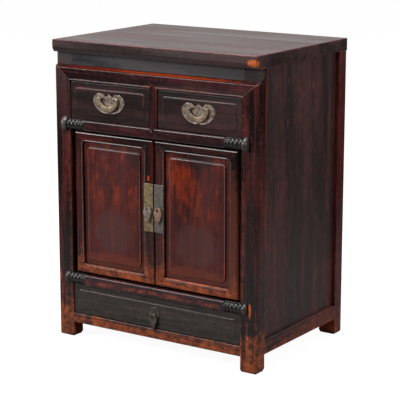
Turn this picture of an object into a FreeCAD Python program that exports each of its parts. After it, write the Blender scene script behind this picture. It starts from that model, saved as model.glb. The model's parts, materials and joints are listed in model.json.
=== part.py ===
"""A small lacquered cupboard: two drawers over a pair of pivoted doors over one wide drawer.

Millimetres, +Z up, the front faces -Y and +X is to the right of someone who stands before it.
Everything is worked out with the posts' front faces in the plane y = 0 and the cupboard's middle
in the plane x = 0. When a piece is written, it is moved along Y so that the origin lies on the
floor under the middle of the whole cupboard.
"""
import FreeCAD, Part
import math
import os

Vector = FreeCAD.Vector

# Case
case_width = 560.0
case_depth = 395.0
case_height = 720.0

# Posts
post_width = 43.0
post_depth = 35.0
post_corner_round = 5.0
foot_round = 9.0
foot_height = 38.0

# Top: a mitred frame with a moulded front and a floating panel
top_thickness = 29.0
top_overhang = 8.0
top_frame_width = 52.0
nose_depth = 14.0
nose_undercut = 6.5
top_edge_bevel = 1.2
nose_hollow_out = 0.22
nose_hollow_up = 0.42
top_panel_thickness = 14.0
top_panel_gap = 0.4
top_panel_tongue = 6.0
top_panel_tongue_thickness = 6.0
batten_width = 28.0
batten_housing = 3.0
batten_height = 14.0

# Front of the case, from the top down
waist_height = 29.0
waist_recess = 10.5
waist_thickness = 14.0
top_rail_height = 36.5
top_rail_slope = 7.5
top_drawer_opening = 90.0
pivot_rail_height = 25.0
pivot_rail_proud = 5.0
pivot_rail_round = 3.5
bottom_drawer_opening = 75.0
bottom_rail_height = 24.0
bottom_rail_depth = 28.0
muntin_width = 22.0
muntin_depth = 30.0
tongue_length = 11.0
tongue_depth = 9.0

# Bead along the inner edges of the face frame
bead_width = 5.0
bead_groove_depth = 1.1
small_round = 1.5

# Rails at the sides and the back
side_rail_height = 34.0
side_rail_thickness = 30.0
side_rail_bottom = 41.0
back_rail_thickness = 21.0
back_mid_rail_drop = 12.0
back_mid_rail_height = 58.0
back_lower_rail_height = 23.0

# Tenons
tenon_length = 20.0
tenon_thickness = 10.0
tenon_shoulder = 5.0

# Panels of upright boards
board_thickness = 8.0
board_recess = 9.0
back_board_recess = 6.0
groove_depth = 5.0
side_board_count = 3
back_board_count = 4
board_edge_bevel = 0.7

# Floors and runners
dust_board_thickness = 8.0
floor_thickness = 10.0
floor_side_gap = 0.5
runner_width = 21.0
runner_thickness = 15.0
guide_height = 24.0
centre_guide_width = 22.4
runner_gap = 0.3
guide_gap = 0.5

# Ribbed bosses at the ends of the two pivot rails; distances are from the case's side
boss_axis_depth = 3.0
upper_cap_start = 22.0
upper_cap_radius = 18.0
lower_cap_start = 24.0
lower_cap_radius = 15.0
rib_edges = (37.0, 47.8, 58.6, 69.2, 77.4, 84.0)
rib_crowns = (12.6, 12.5, 12.4, 12.2, 11.6)
rib_valley = 10.2
cap_shape = ((0.0, 0.5), (0.13, 0.82), (0.42, 1.0), (0.74, 0.95))
rib_shape = ((0.3, 1.0), (0.7, 1.0))

# Doors
door_thickness = 20.0
door_recess = 3.0
door_side_gap = 7.0
door_end_gap = 3.5
door_middle_gap = 2.0
hinge_stile_width = 25.0
meeting_stile_width = 27.0
door_rail_width = 23.0
door_frame_corner = 9.0
door_edge_bevel = 1.4
door_opening_bevel = 1.5
door_stop_lap = 10.0
door_stop_gap = 1.0
pivot_radius = 5.5
pivot_length = 13.0
pivot_play = 0.08
top_pivot_lift = 3.0
floor_of_pivot_gap = 0.3
door_panel_thickness = 8.0
door_panel_sink = 6.5
door_field_height = 4.0
door_field_margin = 12.0
door_field_corner = 7.0
door_panel_tongue = 6.0
panel_tongue_gap = 0.5
door_field_bevel = 1.3

# Drawers
drawer_recess = 2.0
drawer_side_gap = 1.2
drawer_top_gap = 2.0
drawer_bottom_gap = 1.5
drawer_front_thickness = 18.0
drawer_field_height = 1.8
drawer_field_margin = 13.5
drawer_field_corner = 5.0
drawer_field_bevel = 0.9
drawer_side_thickness = 9.0
drawer_side_lap = 10.0
drawer_side_clearance_above = 18.0
drawer_bottom_thickness = 6.0
drawer_bottom_raise = 6.0
drawer_groove_depth = 4.0
drawer_back_gap = 0.3

# Brass fittings
plate_thickness = 1.4
door_plate_width = 26.0
door_plate_height = 113.0
door_plate_above_middle = 13.0
door_plate_corner = 1.5
round_plate_radius = 15.5
round_plate_eye_drop = 4.5
eye_wire_radius = 0.9
eye_hole_radius = 1.6
eye_standoff = 4.7
shank_radius = 1.5
split_leg_length = 11.0
split_leg_thickness = 1.2
split_leg_width = 3.0
pintle_radius = 1.5
pendant_thickness = 2.0
pendant_slot_half_width = 2.8
pendant_slot_drop = 5.8
pendant_bar_lap = 1.0
bail_outer_radius = 29.5
bail_inner_radius = 21.0
bail_drop = 31.0
bail_inner_drop = 18.0
bail_tip_rise = 4.0
bail_tip_round = 3.6
bail_thickness = 3.2
bail_edge_bevel = 0.8
bail_pintle_end = 15.0
eye_half_spacing = 17.0
eye_above_plate_middle = 11.0
pull_plate_half_width = 44.5
pull_plate_half_height = 23.0

# Right halves of two brass outlines; every second point ends an arc and the one before lies on it.
# The plate is in fractions of its half width and half height, the leaf in millimetres from its bar
pull_plate_outline = ((0.0, 1.0), (0.10, 0.76), (0.26, 0.68), (0.37, 0.90), (0.52, 0.93), (0.68, 0.96),
                      (0.82, 0.80), (0.97, 0.48), (1.0, 0.05), (0.70, -0.72), (0.0, -1.0))
pendant_outline = ((0.0, 3.4), (5.8, 2.1), (8.0, -2.8), (10.7, -6.4), (11.0, -11.0), (6.0, -25.6),
                   (0.0, -37.0))

# Heights and places that follow from these
half_width = case_width / 2
post_inner = half_width - post_width
back_post_front = case_depth - post_depth
top_board_bottom = case_height - top_thickness
waist_bottom = top_board_bottom - waist_height
top_rail_bottom = waist_bottom - top_rail_height
mid_rail_top = top_rail_bottom - top_drawer_opening
mid_rail_bottom = mid_rail_top - pivot_rail_height
bottom_rail_top = foot_height + bottom_rail_height
lower_rail_bottom = bottom_rail_top + bottom_drawer_opening
lower_rail_top = lower_rail_bottom + pivot_rail_height
side_rail_top = side_rail_bottom + side_rail_height
door_bottom = lower_rail_top + door_end_gap
door_top = mid_rail_bottom - door_end_gap
door_back = door_recess + door_thickness
stop_front = door_back + door_stop_gap
boss_proud = upper_cap_radius - boss_axis_depth
board_outer = half_width - board_recess
board_inner = board_outer - board_thickness
back_board_back = case_depth - back_board_recess
back_board_front = back_board_back - board_thickness
back_rail_back = back_post_front + back_rail_thickness
floor_half_width = board_inner - floor_side_gap
dust_board_top = mid_rail_top - runner_thickness + runner_gap
dust_board_bottom = dust_board_top - dust_board_thickness
floor_top = lower_rail_top + door_stop_lap / 2 + door_end_gap
floor_bottom = floor_top - floor_thickness
pivot_x = post_inner - door_side_gap - door_thickness / 2
pivot_y = door_recess + door_thickness / 2
to_floor_centre = Vector(0, (boss_proud - case_depth) / 2, 0)


def block(x0, x1, y0, y1, z0, z1):
    """A box between two values on each axis."""
    return Part.makeBox(x1 - x0, y1 - y0, z1 - z0, Vector(x0, y0, z0))


def mirrored(shape):
    """The same piece on the other side of the cupboard."""
    return shape.mirror(Vector(0, 0, 0), Vector(1, 0, 0))


def prism_xz(points, y0, y1):
    """A flat outline given as (x, z) corners, extruded along Y."""
    corners = [Vector(x, y0, z) for x, z in points]
    face = Part.Face(Part.makePolygon(corners + corners[:1]))
    return face.extrude(Vector(0, y1 - y0, 0))


def prism_yz(points, x0, x1):
    """A flat outline given as (y, z) corners, extruded along X."""
    corners = [Vector(x0, y, z) for y, z in points]
    face = Part.Face(Part.makePolygon(corners + corners[:1]))
    return face.extrude(Vector(x1 - x0, 0, 0))


def prism_xy(points, z0, z1):
    """A flat outline given as (x, y) corners, extruded along Z."""
    corners = [Vector(x, y, z0) for x, y in points]
    face = Part.Face(Part.makePolygon(corners + corners[:1]))
    return face.extrude(Vector(0, 0, z1 - z0))


def joined(pieces):
    """One solid out of pieces that touch or overlap."""
    shape = pieces[0]
    for piece in pieces[1:]:
        shape = shape.fuse(piece)
    return shape.removeSplitter()


def cut_by(shape, tools):
    """What is left of a shape once every tool is taken out of it."""
    for tool in tools:
        shape = shape.cut(tool)
    return shape


def rounded(shape, radius, wanted):
    """Fillets the straight edges for which wanted(first end, second end) is true."""
    edges = []
    for edge in shape.Edges:
        if len(edge.Vertexes) == 2 and wanted(edge.Vertexes[0].Point, edge.Vertexes[1].Point):
            edges.append(edge)
    return shape.makeFillet(radius, edges)


def bevelled(shape, size, wanted):
    """Bevels the straight edges for which wanted(first end, second end) is true."""
    edges = [e for e in shape.Edges if wanted(e.Vertexes[0].Point, e.Vertexes[-1].Point)]
    return shape.makeChamfer(size, edges)


def near(a, b):
    return abs(a - b) < 0.01


def edge_at(axis_a, value_a, axis_b, value_b):
    """A test for edges that lie along one line: two coordinates are fixed on both ends."""
    def test(p, q):
        return (near(p[axis_a], value_a) and near(q[axis_a], value_a)
                and near(p[axis_b], value_b) and near(q[axis_b], value_b))
    return test


def any_of(*tests):
    return lambda p, q: any(test(p, q) for test in tests)


def save(name, *solids):
    """Moves the solids of a node to the floor centre and writes them."""
    shape = solids[0] if len(solids) == 1 else Part.makeCompound(list(solids))
    placed = shape.copy()
    placed.translate(to_floor_centre)
    placed.exportStep(os.path.join("parts", name + ".step"))


def post(front):
    """Right-hand post of the front or the back, with its foot, before the joints are cut."""
    y0 = 0.0 if front else back_post_front
    y1 = y0 + post_depth
    outer_y = y0 if front else y1
    shape = block(post_inner, half_width, y0, y1, 0, top_board_bottom)
    shape = rounded(shape, post_corner_round, edge_at(0, half_width, 1, outer_y))
    shape = cut_by(shape, foot_cutters(post_inner, half_width, y0, y1))
    if not front:
        return shape
    shape = rounded(shape, small_round, edge_at(0, post_inner, 1, 0))
    g = bead_groove_depth
    x = post_inner + bead_width
    bead = prism_xy([(x - g, 0), (x + g, 0), (x, g)], foot_height, top_board_bottom)
    waist = block(post_inner, half_width, 0, waist_recess, waist_bottom, top_board_bottom)
    return cut_by(shape, [bead, waist, top_rail_shoulder()])


def foot_cutters(x0, x1, y0, y1):
    """What is taken off all round the end of a post: two facets along each of its four sides."""
    r = foot_round
    k = r * (1 - math.sqrt(0.5))
    outline = [(-1, -1), (-1, r), (0, r), (k, k), (r, 0), (r, -1)]
    return [prism_xz([(x0 + i, z) for i, z in outline], y0, y1),
            prism_xz([(x1 - i, z) for i, z in outline], y0, y1),
            prism_yz([(y0 + i, z) for i, z in outline], x0, x1),
            prism_yz([(y1 - i, z) for i, z in outline], x0, x1)]


def tenon(y_middle, z0, z1):
    """Right-hand tenon of a front or back rail, which runs into the post."""
    return block(post_inner, post_inner + tenon_length,
                 y_middle - tenon_thickness / 2, y_middle + tenon_thickness / 2,
                 z0 + tenon_shoulder, z1 - tenon_shoulder)


def with_tenons(body, y_middle, z0, z1):
    right = tenon(y_middle, z0, z1)
    return joined([body, right, mirrored(right)])


def top_rail_shoulder():
    """What is taken off the top rail and the posts' heads to leave the sloping shoulder."""
    return prism_yz([(0, waist_bottom - top_rail_slope), (waist_recess, waist_bottom),
                     (0, waist_bottom)], -half_width, half_width)


def top_rail_blank():
    """Face frame's top rail, mitred over the posts' fronts, before its mouldings are cut."""
    envelope = block(-half_width, half_width, 0, post_depth, 0, waist_bottom)
    envelope = rounded(envelope, post_corner_round,
                       any_of(edge_at(0, half_width, 1, 0), edge_at(0, -half_width, 1, 0)))
    layer = prism_xz([(-post_inner, top_rail_bottom), (post_inner, top_rail_bottom),
                      (half_width, waist_bottom), (-half_width, waist_bottom)], 0, waist_recess)
    layer = layer.common(envelope)
    core = block(-post_inner, post_inner, waist_recess, post_depth, top_rail_bottom, waist_bottom)
    return with_tenons(joined([layer, core]), (waist_recess + post_depth) / 2, top_rail_bottom, waist_bottom)


def top_rail():
    """Top rail with its sloping shoulder, its bead and the notch for the muntin's upper point."""
    groove_z = top_rail_bottom + bead_width * top_rail_height / post_width
    bead = prism_yz([(0, groove_z - bead_groove_depth), (0, groove_z + bead_groove_depth),
                     (bead_groove_depth, groove_z)], -half_width, half_width)
    shape = cut_by(top_rail_blank(), [top_rail_shoulder(), bead, tongue(top_rail_bottom, 1)])
    return rounded(shape, small_round, edge_at(1, 0, 2, top_rail_bottom))


def tongue(z, direction):
    """Pointed end of the muntin, from the rail's edge at height z upwards (1) or downwards (-1)."""
    points = [(-muntin_width / 2, z), (muntin_width / 2, z), (0, z + direction * tongue_length)]
    return prism_xz(points, 0, tongue_depth)


def muntin():
    body = block(-muntin_width / 2, muntin_width / 2, 0, muntin_depth, mid_rail_top, top_rail_bottom)
    shape = joined([body, tongue(top_rail_bottom, 1), tongue(mid_rail_top, -1)])
    side_edges = any_of(edge_at(0, muntin_width / 2, 1, 0), edge_at(0, -muntin_width / 2, 1, 0))
    return rounded(shape, small_round, side_edges)


def boss_outline(cap_start, cap_radius):
    """Half section of a boss as (distance from the case's side, radius): a domed cap, then the ribs."""
    length = rib_edges[0] - cap_start
    points = [(cap_start + length * along, cap_radius * high) for along, high in cap_shape]
    points.append((rib_edges[0], rib_valley))
    for start, end, crown in zip(rib_edges, rib_edges[1:], rib_crowns):
        for along, high in rib_shape:
            points.append((start + (end - start) * along, rib_valley + (crown - rib_valley) * high))
        points.append((end, rib_valley))
    return points


def boss(z_middle, cap_start, cap_radius):
    """Right-hand boss turned about a line along X, kept to what stands before the post and the rail."""
    y = boss_axis_depth
    outline = [(cap_start, 0)] + boss_outline(cap_start, cap_radius) + [(rib_edges[-1], 0)]
    corners = [Vector(half_width - u, y, z_middle + r) for u, r in outline]
    face = Part.Face(Part.makePolygon(corners + corners[:1]))
    solid = face.revolve(Vector(0, y, z_middle), Vector(1, 0, 0), 360)
    behind_face = block(post_inner, half_width, 0, post_depth, 0, case_height)
    behind_axis = block(0, post_inner, y, post_depth, 0, case_height)
    return cut_by(solid, [behind_face, behind_axis])


def pivot_rail(z0, lip_up, cap_start, cap_radius):
    """Middle or lower rail: proud rounded front, boss at each end, stop lip behind the doors."""
    z1 = z0 + pivot_rail_height
    lip = door_stop_lap + door_end_gap
    lip_z0, lip_z1 = (z0, z1 + lip) if lip_up else (z0 - lip, z1)
    body = block(-post_inner, post_inner, -pivot_rail_proud, post_depth, z0, z1)
    body = rounded(body, pivot_rail_round,
                   any_of(edge_at(1, -pivot_rail_proud, 2, z0), edge_at(1, -pivot_rail_proud, 2, z1)))
    carved = block(half_width - rib_edges[-1], half_width, -case_depth, boss_axis_depth, 0, case_height)
    body = cut_by(body, [carved, mirrored(carved)])
    stop = block(-post_inner, post_inner, stop_front, post_depth, lip_z0, lip_z1)
    right = boss((z0 + z1) / 2, cap_start, cap_radius)
    shape = joined([body, stop, right, mirrored(right)])
    return with_tenons(shape, (post_depth + boss_axis_depth) / 2, z0, z1)


def pivot_hole(z, depth, direction):
    """Right-hand hole for a door's pivot, drilled into a rail from height z."""
    return Part.makeCylinder(pivot_radius + pivot_play, depth, Vector(pivot_x, pivot_y, z),
                             Vector(0, 0, direction))


def middle_rail():
    hole = pivot_hole(mid_rail_bottom, pivot_length - door_end_gap + top_pivot_lift, 1)
    notch = prism_xz([(-muntin_width / 2, mid_rail_top), (muntin_width / 2, mid_rail_top),
                      (0, mid_rail_top - tongue_length)], -pivot_rail_proud, tongue_depth)
    rail = pivot_rail(mid_rail_bottom, False, upper_cap_start, upper_cap_radius)
    shape = cut_by(rail, [hole, mirrored(hole), notch])
    return shape.cut(dust_board())


def lower_rail():
    hole = pivot_hole(lower_rail_top, pivot_length - door_end_gap + floor_of_pivot_gap, -1)
    rail = pivot_rail(lower_rail_bottom, True, lower_cap_start, lower_cap_radius)
    shape = cut_by(rail, [hole, mirrored(hole)])
    return shape.cut(cupboard_floor())


def bottom_rail():
    body = block(-post_inner, post_inner, 0, bottom_rail_depth, foot_height, bottom_rail_top)
    body = rounded(body, small_round,
                   any_of(edge_at(1, 0, 2, foot_height), edge_at(1, 0, 2, bottom_rail_top)))
    return with_tenons(body, bottom_rail_depth / 2, foot_height, bottom_rail_top)


def back_rail(z0, z1):
    body = block(-post_inner, post_inner, back_post_front, back_rail_back, z0, z1)
    return with_tenons(body, (back_post_front + back_rail_back) / 2, z0, z1)


def back_rails():
    """Inner back rails: behind the top drawers and under the cupboard's floor."""
    middle = back_rail(dust_board_bottom - back_mid_rail_drop,
                       dust_board_bottom - back_mid_rail_drop + back_mid_rail_height)
    lower = back_rail(floor_bottom - back_lower_rail_height, floor_bottom)
    return [middle.cut(dust_board()), lower]


def back_bottom_rail():
    body = block(-post_inner, post_inner, back_post_front, case_depth - board_edge_bevel,
                 side_rail_bottom, side_rail_top)
    shape = with_tenons(body, (back_post_front + case_depth) / 2, side_rail_bottom, side_rail_top)
    return cut_by(shape, back_boards())


def side_rail():
    """Right-hand lower side rail, tenoned into both posts and grooved for the boards."""
    inner = half_width - side_rail_thickness
    body = block(inner, half_width, post_depth, back_post_front, side_rail_bottom, side_rail_top)
    body = rounded(body, small_round,
                   any_of(edge_at(0, half_width, 2, side_rail_bottom),
                          edge_at(0, half_width, 2, side_rail_top)))
    middle = (inner + half_width) / 2
    tenons = block(middle - tenon_thickness / 2, middle + tenon_thickness / 2,
                   post_depth - tenon_length, back_post_front + tenon_length,
                   side_rail_bottom + tenon_shoulder, side_rail_top - tenon_shoulder)
    return cut_by(joined([body, tenons]), side_boards())


def side_boards():
    """Right-hand side panel: upright boards that stand in grooves on all four sides."""
    y0 = post_depth - groove_depth
    width = (back_post_front + groove_depth - y0) / side_board_count
    boards = []
    for index in range(side_board_count):
        board = block(board_inner, board_outer, y0 + index * width, y0 + (index + 1) * width,
                      side_rail_top - groove_depth, top_board_bottom + groove_depth)
        seams = [y0 + k * width for k in (index, index + 1) if 0 < k < side_board_count]
        for seam in seams:
            board = bevelled(board, board_edge_bevel, edge_at(0, board_outer, 1, seam))
        boards.append(board)
    return boards


def back_boards():
    """Back panel: upright boards behind the back rails."""
    x0 = -post_inner - groove_depth
    width = 2 * (post_inner + groove_depth) / back_board_count
    boards = []
    for index in range(back_board_count):
        board = block(x0 + index * width, x0 + (index + 1) * width, back_board_front, back_board_back,
                      side_rail_top - groove_depth, top_board_bottom + groove_depth)
        seams = [x0 + k * width for k in (index, index + 1) if 0 < k < back_board_count]
        for seam in seams:
            board = bevelled(board, board_edge_bevel, edge_at(0, seam, 1, back_board_back))
        boards.append(board)
    return boards


def notched_board(y_front, z0, z1):
    """A floor that reaches to the side and back boards and is notched round the back posts."""
    y_post = post_depth
    board = block(-floor_half_width, floor_half_width, y_post, back_board_front, z0, z1)
    lip = block(-post_inner, post_inner, y_front, y_post, z0, z1)
    corner = block(post_inner, half_width, back_post_front, case_depth, z0, z1)
    return cut_by(joined([board, lip]), [corner, mirrored(corner)])


def dust_board():
    """Board between the top drawers and the cupboard, set in grooves in the rails."""
    board = notched_board(post_depth - groove_depth, dust_board_bottom, dust_board_top)
    keep = block(-half_width, half_width, 0, back_post_front + groove_depth, 0, case_height)
    return board.common(keep)


def cupboard_floor():
    """Floor of the cupboard: its front edge is in the lower rail's lip."""
    return notched_board(post_depth - groove_depth, floor_bottom, floor_top)


def side_runner(z_run, z_bottom, outer):
    """Right-hand runner with its guide, between the front and the back post."""
    guide_x = post_inner - drawer_side_gap + guide_gap
    foot = block(guide_x - runner_width, outer, post_depth, back_post_front, z_bottom, z_run)
    guide = block(guide_x, outer, post_depth, back_post_front, z_run, z_run + guide_height)
    return joined([foot, guide])


def centre_runner():
    """Runner between the two top drawers, with the guide that both drawers slide along."""
    half = centre_guide_width / 2
    foot = block(-half - runner_width, half + runner_width, post_depth, back_post_front,
                 dust_board_top, mid_rail_top)
    guide = block(-half, half, post_depth, back_post_front, mid_rail_top, mid_rail_top + guide_height)
    return joined([foot, guide])


def drawer_runners():
    upper = side_runner(mid_rail_top, dust_board_top, floor_half_width)
    lower = side_runner(bottom_rail_top, bottom_rail_top - runner_thickness,
                        half_width - side_rail_thickness)
    return [upper, mirrored(upper), centre_runner(), lower, mirrored(lower)]


def waist_band():
    """Recessed strip between the top and the face frame, from post to post."""
    return block(-post_inner, post_inner, waist_recess, waist_recess + waist_thickness,
                 waist_bottom, top_board_bottom)


def top_slab():
    """The whole top as one slab with the nose moulding along the front."""
    front = -top_overhang
    z0 = top_board_bottom
    z1 = case_height
    r = top_edge_bevel
    nose_bottom = z1 - nose_depth
    under = front + nose_undercut
    x = -half_width
    corners = [Vector(x, case_depth, z0), Vector(x, under, z0), Vector(x, front, nose_bottom),
               Vector(x, front, z1 - r), Vector(x, front + r, z1), Vector(x, case_depth, z1)]
    hollow = Vector(x, front + nose_undercut * nose_hollow_out,
                    z0 + (nose_bottom - z0) * nose_hollow_up)
    edges = [Part.makeLine(corners[0], corners[1]),
             Part.Arc(corners[1], hollow, corners[2]).toShape(),
             Part.makeLine(corners[2], corners[3]),
             Part.makeLine(corners[3], corners[4]),
             Part.makeLine(corners[4], corners[5]),
             Part.makeLine(corners[5], corners[0])]
    slab = Part.Face(Part.Wire(edges)).extrude(Vector(case_width, 0, 0))
    return bevelled(slab, r, any_of(edge_at(0, half_width, 2, z1), edge_at(0, -half_width, 2, z1),
                                    edge_at(1, case_depth, 2, z1)))


def top_opening(margin, z0, z1):
    """Opening of the top frame, made larger on every side by the margin."""
    x = half_width - top_frame_width + margin
    return block(-x, x, top_frame_width - top_overhang - margin, case_depth - top_frame_width + margin,
                 z0, z1)


def top_frame():
    """Front, back and two end members of the top, split along their mitres."""
    x = half_width
    xi = half_width - top_frame_width
    y0 = -top_overhang
    y1 = case_depth
    yi0 = y0 + top_frame_width
    yi1 = y1 - top_frame_width
    groove_bottom = case_height - top_panel_thickness
    ring = top_slab().cut(top_opening(0, top_board_bottom, case_height))
    ring = ring.cut(top_opening(top_panel_tongue + panel_tongue_gap,
                                groove_bottom, groove_bottom + top_panel_tongue_thickness))
    ring = cut_by(ring, side_boards() + [mirrored(b) for b in side_boards()] + back_boards() + [batten()])
    outlines = {
        "front": [(-x, y0), (x, y0), (xi, yi0), (-xi, yi0)],
        "back": [(-xi, yi1), (xi, yi1), (x, y1), (-x, y1)],
        "right": [(x, y0), (x, y1), (xi, yi1), (xi, yi0)],
    }
    members = {}
    for name, outline in outlines.items():
        members[name] = ring.common(prism_xy(outline, top_board_bottom, case_height))
    members["left"] = mirrored(members["right"])
    return members


def batten():
    """Batten under the top panel, housed in it and tenoned into the front and back members."""
    half = batten_width / 2
    z1 = case_height - top_panel_thickness + batten_housing
    return block(-half, half, top_frame_width - top_overhang - tenon_thickness,
                 case_depth - top_frame_width + tenon_thickness, z1 - batten_height, z1)


def top_panel():
    """Two boards that lie flush in the frame, with a tongue all round that floats in its groove."""
    z0 = case_height - top_panel_thickness
    field = top_opening(-top_panel_gap, z0, case_height)
    edge = top_opening(top_panel_tongue, z0, z0 + top_panel_tongue_thickness)
    slab = joined([field, edge]).cut(batten())
    middle = (case_depth - top_overhang) / 2
    front = slab.common(block(-half_width, half_width, -top_overhang, middle, 0, case_height))
    back = slab.common(block(-half_width, half_width, middle, case_depth, 0, case_height))
    return [front, back]


def rounded_rectangle_prism(x0, x1, z0, z1, corner, y0, y1):
    """A rectangle seen from the front, with round corners, extruded along Y."""
    shape = block(x0, x1, y0, y1, z0, z1)
    return rounded(shape, corner, lambda p, q: near(p[0], q[0]) and near(p[2], q[2]))


def door_opening():
    """Inner edges of the right-hand door's frame: x of both stiles and z of both rails."""
    return (door_middle_gap / 2 + meeting_stile_width,
            pivot_x + door_thickness / 2 - hinge_stile_width,
            door_bottom + door_rail_width, door_top - door_rail_width)


def door_frame():
    """Right-hand door's frame before it is split: rounded hinge edge, grooves, rounded inner corners."""
    x0 = door_middle_gap / 2
    x1 = pivot_x
    xi0, xi1, zi0, zi1 = door_opening()
    slab = block(x0, x1, door_recess, door_back, door_bottom, door_top)
    slab = bevelled(slab, door_edge_bevel,
                    any_of(edge_at(1, door_recess, 2, door_top), edge_at(1, door_recess, 2, door_bottom),
                           edge_at(0, x0, 1, door_recess)))
    hinge_edge = Part.makeCylinder(door_thickness / 2, door_top - door_bottom,
                                   Vector(pivot_x, pivot_y, door_bottom))
    slab = joined([slab, hinge_edge])
    opening = rounded_rectangle_prism(xi0, xi1, zi0, zi1, door_frame_corner, door_recess, door_back)
    tongue_room = door_panel_tongue + panel_tongue_gap
    groove = block(xi0 - tongue_room, xi1 + tongue_room, door_recess + door_panel_sink,
                   door_recess + door_panel_sink + door_panel_thickness,
                   zi0 - tongue_room, zi1 + tongue_room)
    frame = slab.cut(opening)
    front_edges = [e for e in frame.Edges if on_front_of_opening(e)]
    frame = frame.makeChamfer(door_opening_bevel, front_edges)
    return frame.cut(groove)


def on_front_of_opening(edge):
    """True for the edges round the door frame's opening on its front face."""
    xi0, xi1, zi0, zi1 = door_opening()
    box = edge.BoundBox
    flat = near(box.YMin, door_recess) and near(box.YMax, door_recess)
    inside = (box.XMin > xi0 - 1 and box.XMax < xi1 + 1 and box.ZMin > zi0 - 1 and box.ZMax < zi1 + 1)
    return flat and inside


def door_members():
    """Right-hand door's frame, split along its mitres, with the pivots on the hinge stile."""
    x0 = door_middle_gap / 2
    x1 = pivot_x + door_thickness / 2
    xi0, xi1, zi0, zi1 = door_opening()
    y0, y1 = door_recess, door_back
    frame = door_frame()
    outlines = {
        "meeting": [(x0, door_bottom), (xi0, zi0), (xi0, zi1), (x0, door_top)],
        "hinge": [(x1, door_bottom), (x1, door_top), (xi1, zi1), (xi1, zi0)],
        "top": [(x0, door_top), (xi0, zi1), (xi1, zi1), (x1, door_top)],
        "bottom": [(x0, door_bottom), (x1, door_bottom), (xi1, zi0), (xi0, zi0)],
    }
    members = {name: frame.common(prism_xz(outline, y0, y1)) for name, outline in outlines.items()}
    reach = pivot_length - door_end_gap
    pins = [Part.makeCylinder(pivot_radius, reach + door_end_gap + hinge_stile_width,
                              Vector(pivot_x, pivot_y, door_top - hinge_stile_width)),
            Part.makeCylinder(pivot_radius, reach + door_end_gap + hinge_stile_width,
                              Vector(pivot_x, pivot_y, door_bottom - reach - door_end_gap))]
    members["hinge"] = joined([members["hinge"]] + pins)
    members["top"] = cut_by(members["top"], pins)
    members["bottom"] = cut_by(members["bottom"], pins)
    return members


def door_panel():
    """Raised panel: a field with round corners on a thinner board whose edges sit in the grooves."""
    xi0, xi1, zi0, zi1 = door_opening()
    t = door_panel_tongue
    y0 = door_recess + door_panel_sink
    m = door_field_margin
    board = block(xi0 - t, xi1 + t, y0, y0 + door_panel_thickness, zi0 - t, zi1 + t)
    field = rounded_rectangle_prism(xi0 + m, xi1 - m, zi0 + m, zi1 - m, door_field_corner,
                                    y0 - door_field_height, y0 + door_panel_thickness)
    front_edges = [e for e in field.Edges
                   if near(e.BoundBox.YMax, y0 - door_field_height)]
    field = field.makeChamfer(door_field_bevel, front_edges)
    return joined([board, field])


def eye_pin(x, y_face, z, y_back):
    """Split pin: an eye before the plate, a shank through the wood and two legs bent apart behind it."""
    y_eye = y_face - eye_standoff
    ring_radius = eye_hole_radius + 2 * eye_wire_radius
    start = Vector(x - eye_wire_radius, y_eye, z)
    along = Vector(1, 0, 0)
    hole = Part.makeCylinder(eye_hole_radius, 2 * eye_wire_radius, start, along)
    ring = Part.makeCylinder(ring_radius, 2 * eye_wire_radius, start, along)
    y_shank = y_eye + eye_hole_radius + eye_wire_radius
    shank = Part.makeCylinder(shank_radius, y_back - y_shank, Vector(x, y_shank, z), Vector(0, 1, 0))
    legs = block(x - split_leg_width / 2, x + split_leg_width / 2, y_back,
                 y_back + split_leg_thickness, z - split_leg_length, z + split_leg_length)
    return joined([ring, shank, legs]).cut(hole)


def pin_hole(x, z, y0, y1):
    return Part.makeCylinder(shank_radius, y1 - y0, Vector(x, y0, z), Vector(0, 1, 0))


def arcs_between(points):
    """Edges of a symmetric outline seen from the front, from arcs through every three points in turn."""
    spots = [Vector(x, 0, z) for x, z in points]
    right = [Part.Arc(*spots[k:k + 3]).toShape() for k in range(0, len(spots) - 2, 2)]
    left = [edge.mirror(Vector(0, 0, 0), Vector(1, 0, 0)) for edge in right]
    return Part.__sortEdges__(right + left)


def pendant(x, y, z):
    """Leaf-shaped pendant that hangs by a bar across the slot in its head."""
    half = pendant_thickness / 2
    leaf = Part.Face(Part.Wire(arcs_between(pendant_outline))).extrude(Vector(0, pendant_thickness, 0))
    leaf.translate(Vector(0, -half, 0))
    s = pendant_slot_half_width
    slot = block(-s, s, -pendant_thickness, pendant_thickness, -pendant_slot_drop, pendant_slot_drop)
    bar = Part.makeCylinder(pintle_radius, 2 * (s + pendant_bar_lap), Vector(-s - pendant_bar_lap, 0, 0),
                            Vector(1, 0, 0))
    shape = joined([leaf.cut(slot), bar])
    shape.translate(Vector(x, y, z))
    return shape


def bail(x, y, z):
    """Crescent bail: a half-moon, flat behind, whose tips carry pintles that point inwards into the eyes."""
    half = bail_thickness / 2
    outer = Part.makeCylinder(bail_outer_radius, bail_thickness,
                              Vector(0, -half, bail_outer_radius - bail_drop), Vector(0, 1, 0))
    inner = Part.makeCylinder(bail_inner_radius, bail_thickness,
                              Vector(0, -half, bail_inner_radius - bail_inner_drop), Vector(0, 1, 0))
    above = block(-bail_drop, bail_drop, -half, half, bail_tip_rise, 2 * bail_drop)
    moon = cut_by(outer, [inner, above])
    moon = rounded(moon, bail_tip_round,
                   lambda p, q: near(p[2], bail_tip_rise) and near(q[2], bail_tip_rise) and near(p[0], q[0]))
    front_edges = [e for e in moon.Edges if near(e.BoundBox.YMin, -half) and near(e.BoundBox.YMax, -half)]
    moon = moon.makeChamfer(bail_edge_bevel, front_edges)
    reach = bail_inner_radius + bail_tip_round - bail_pintle_end
    pintle = Part.makeCylinder(pintle_radius, reach, Vector(bail_pintle_end, 0, 0), Vector(1, 0, 0))
    shape = joined([moon, pintle, mirrored(pintle)])
    shape.translate(Vector(x, y, z))
    return shape


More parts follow.
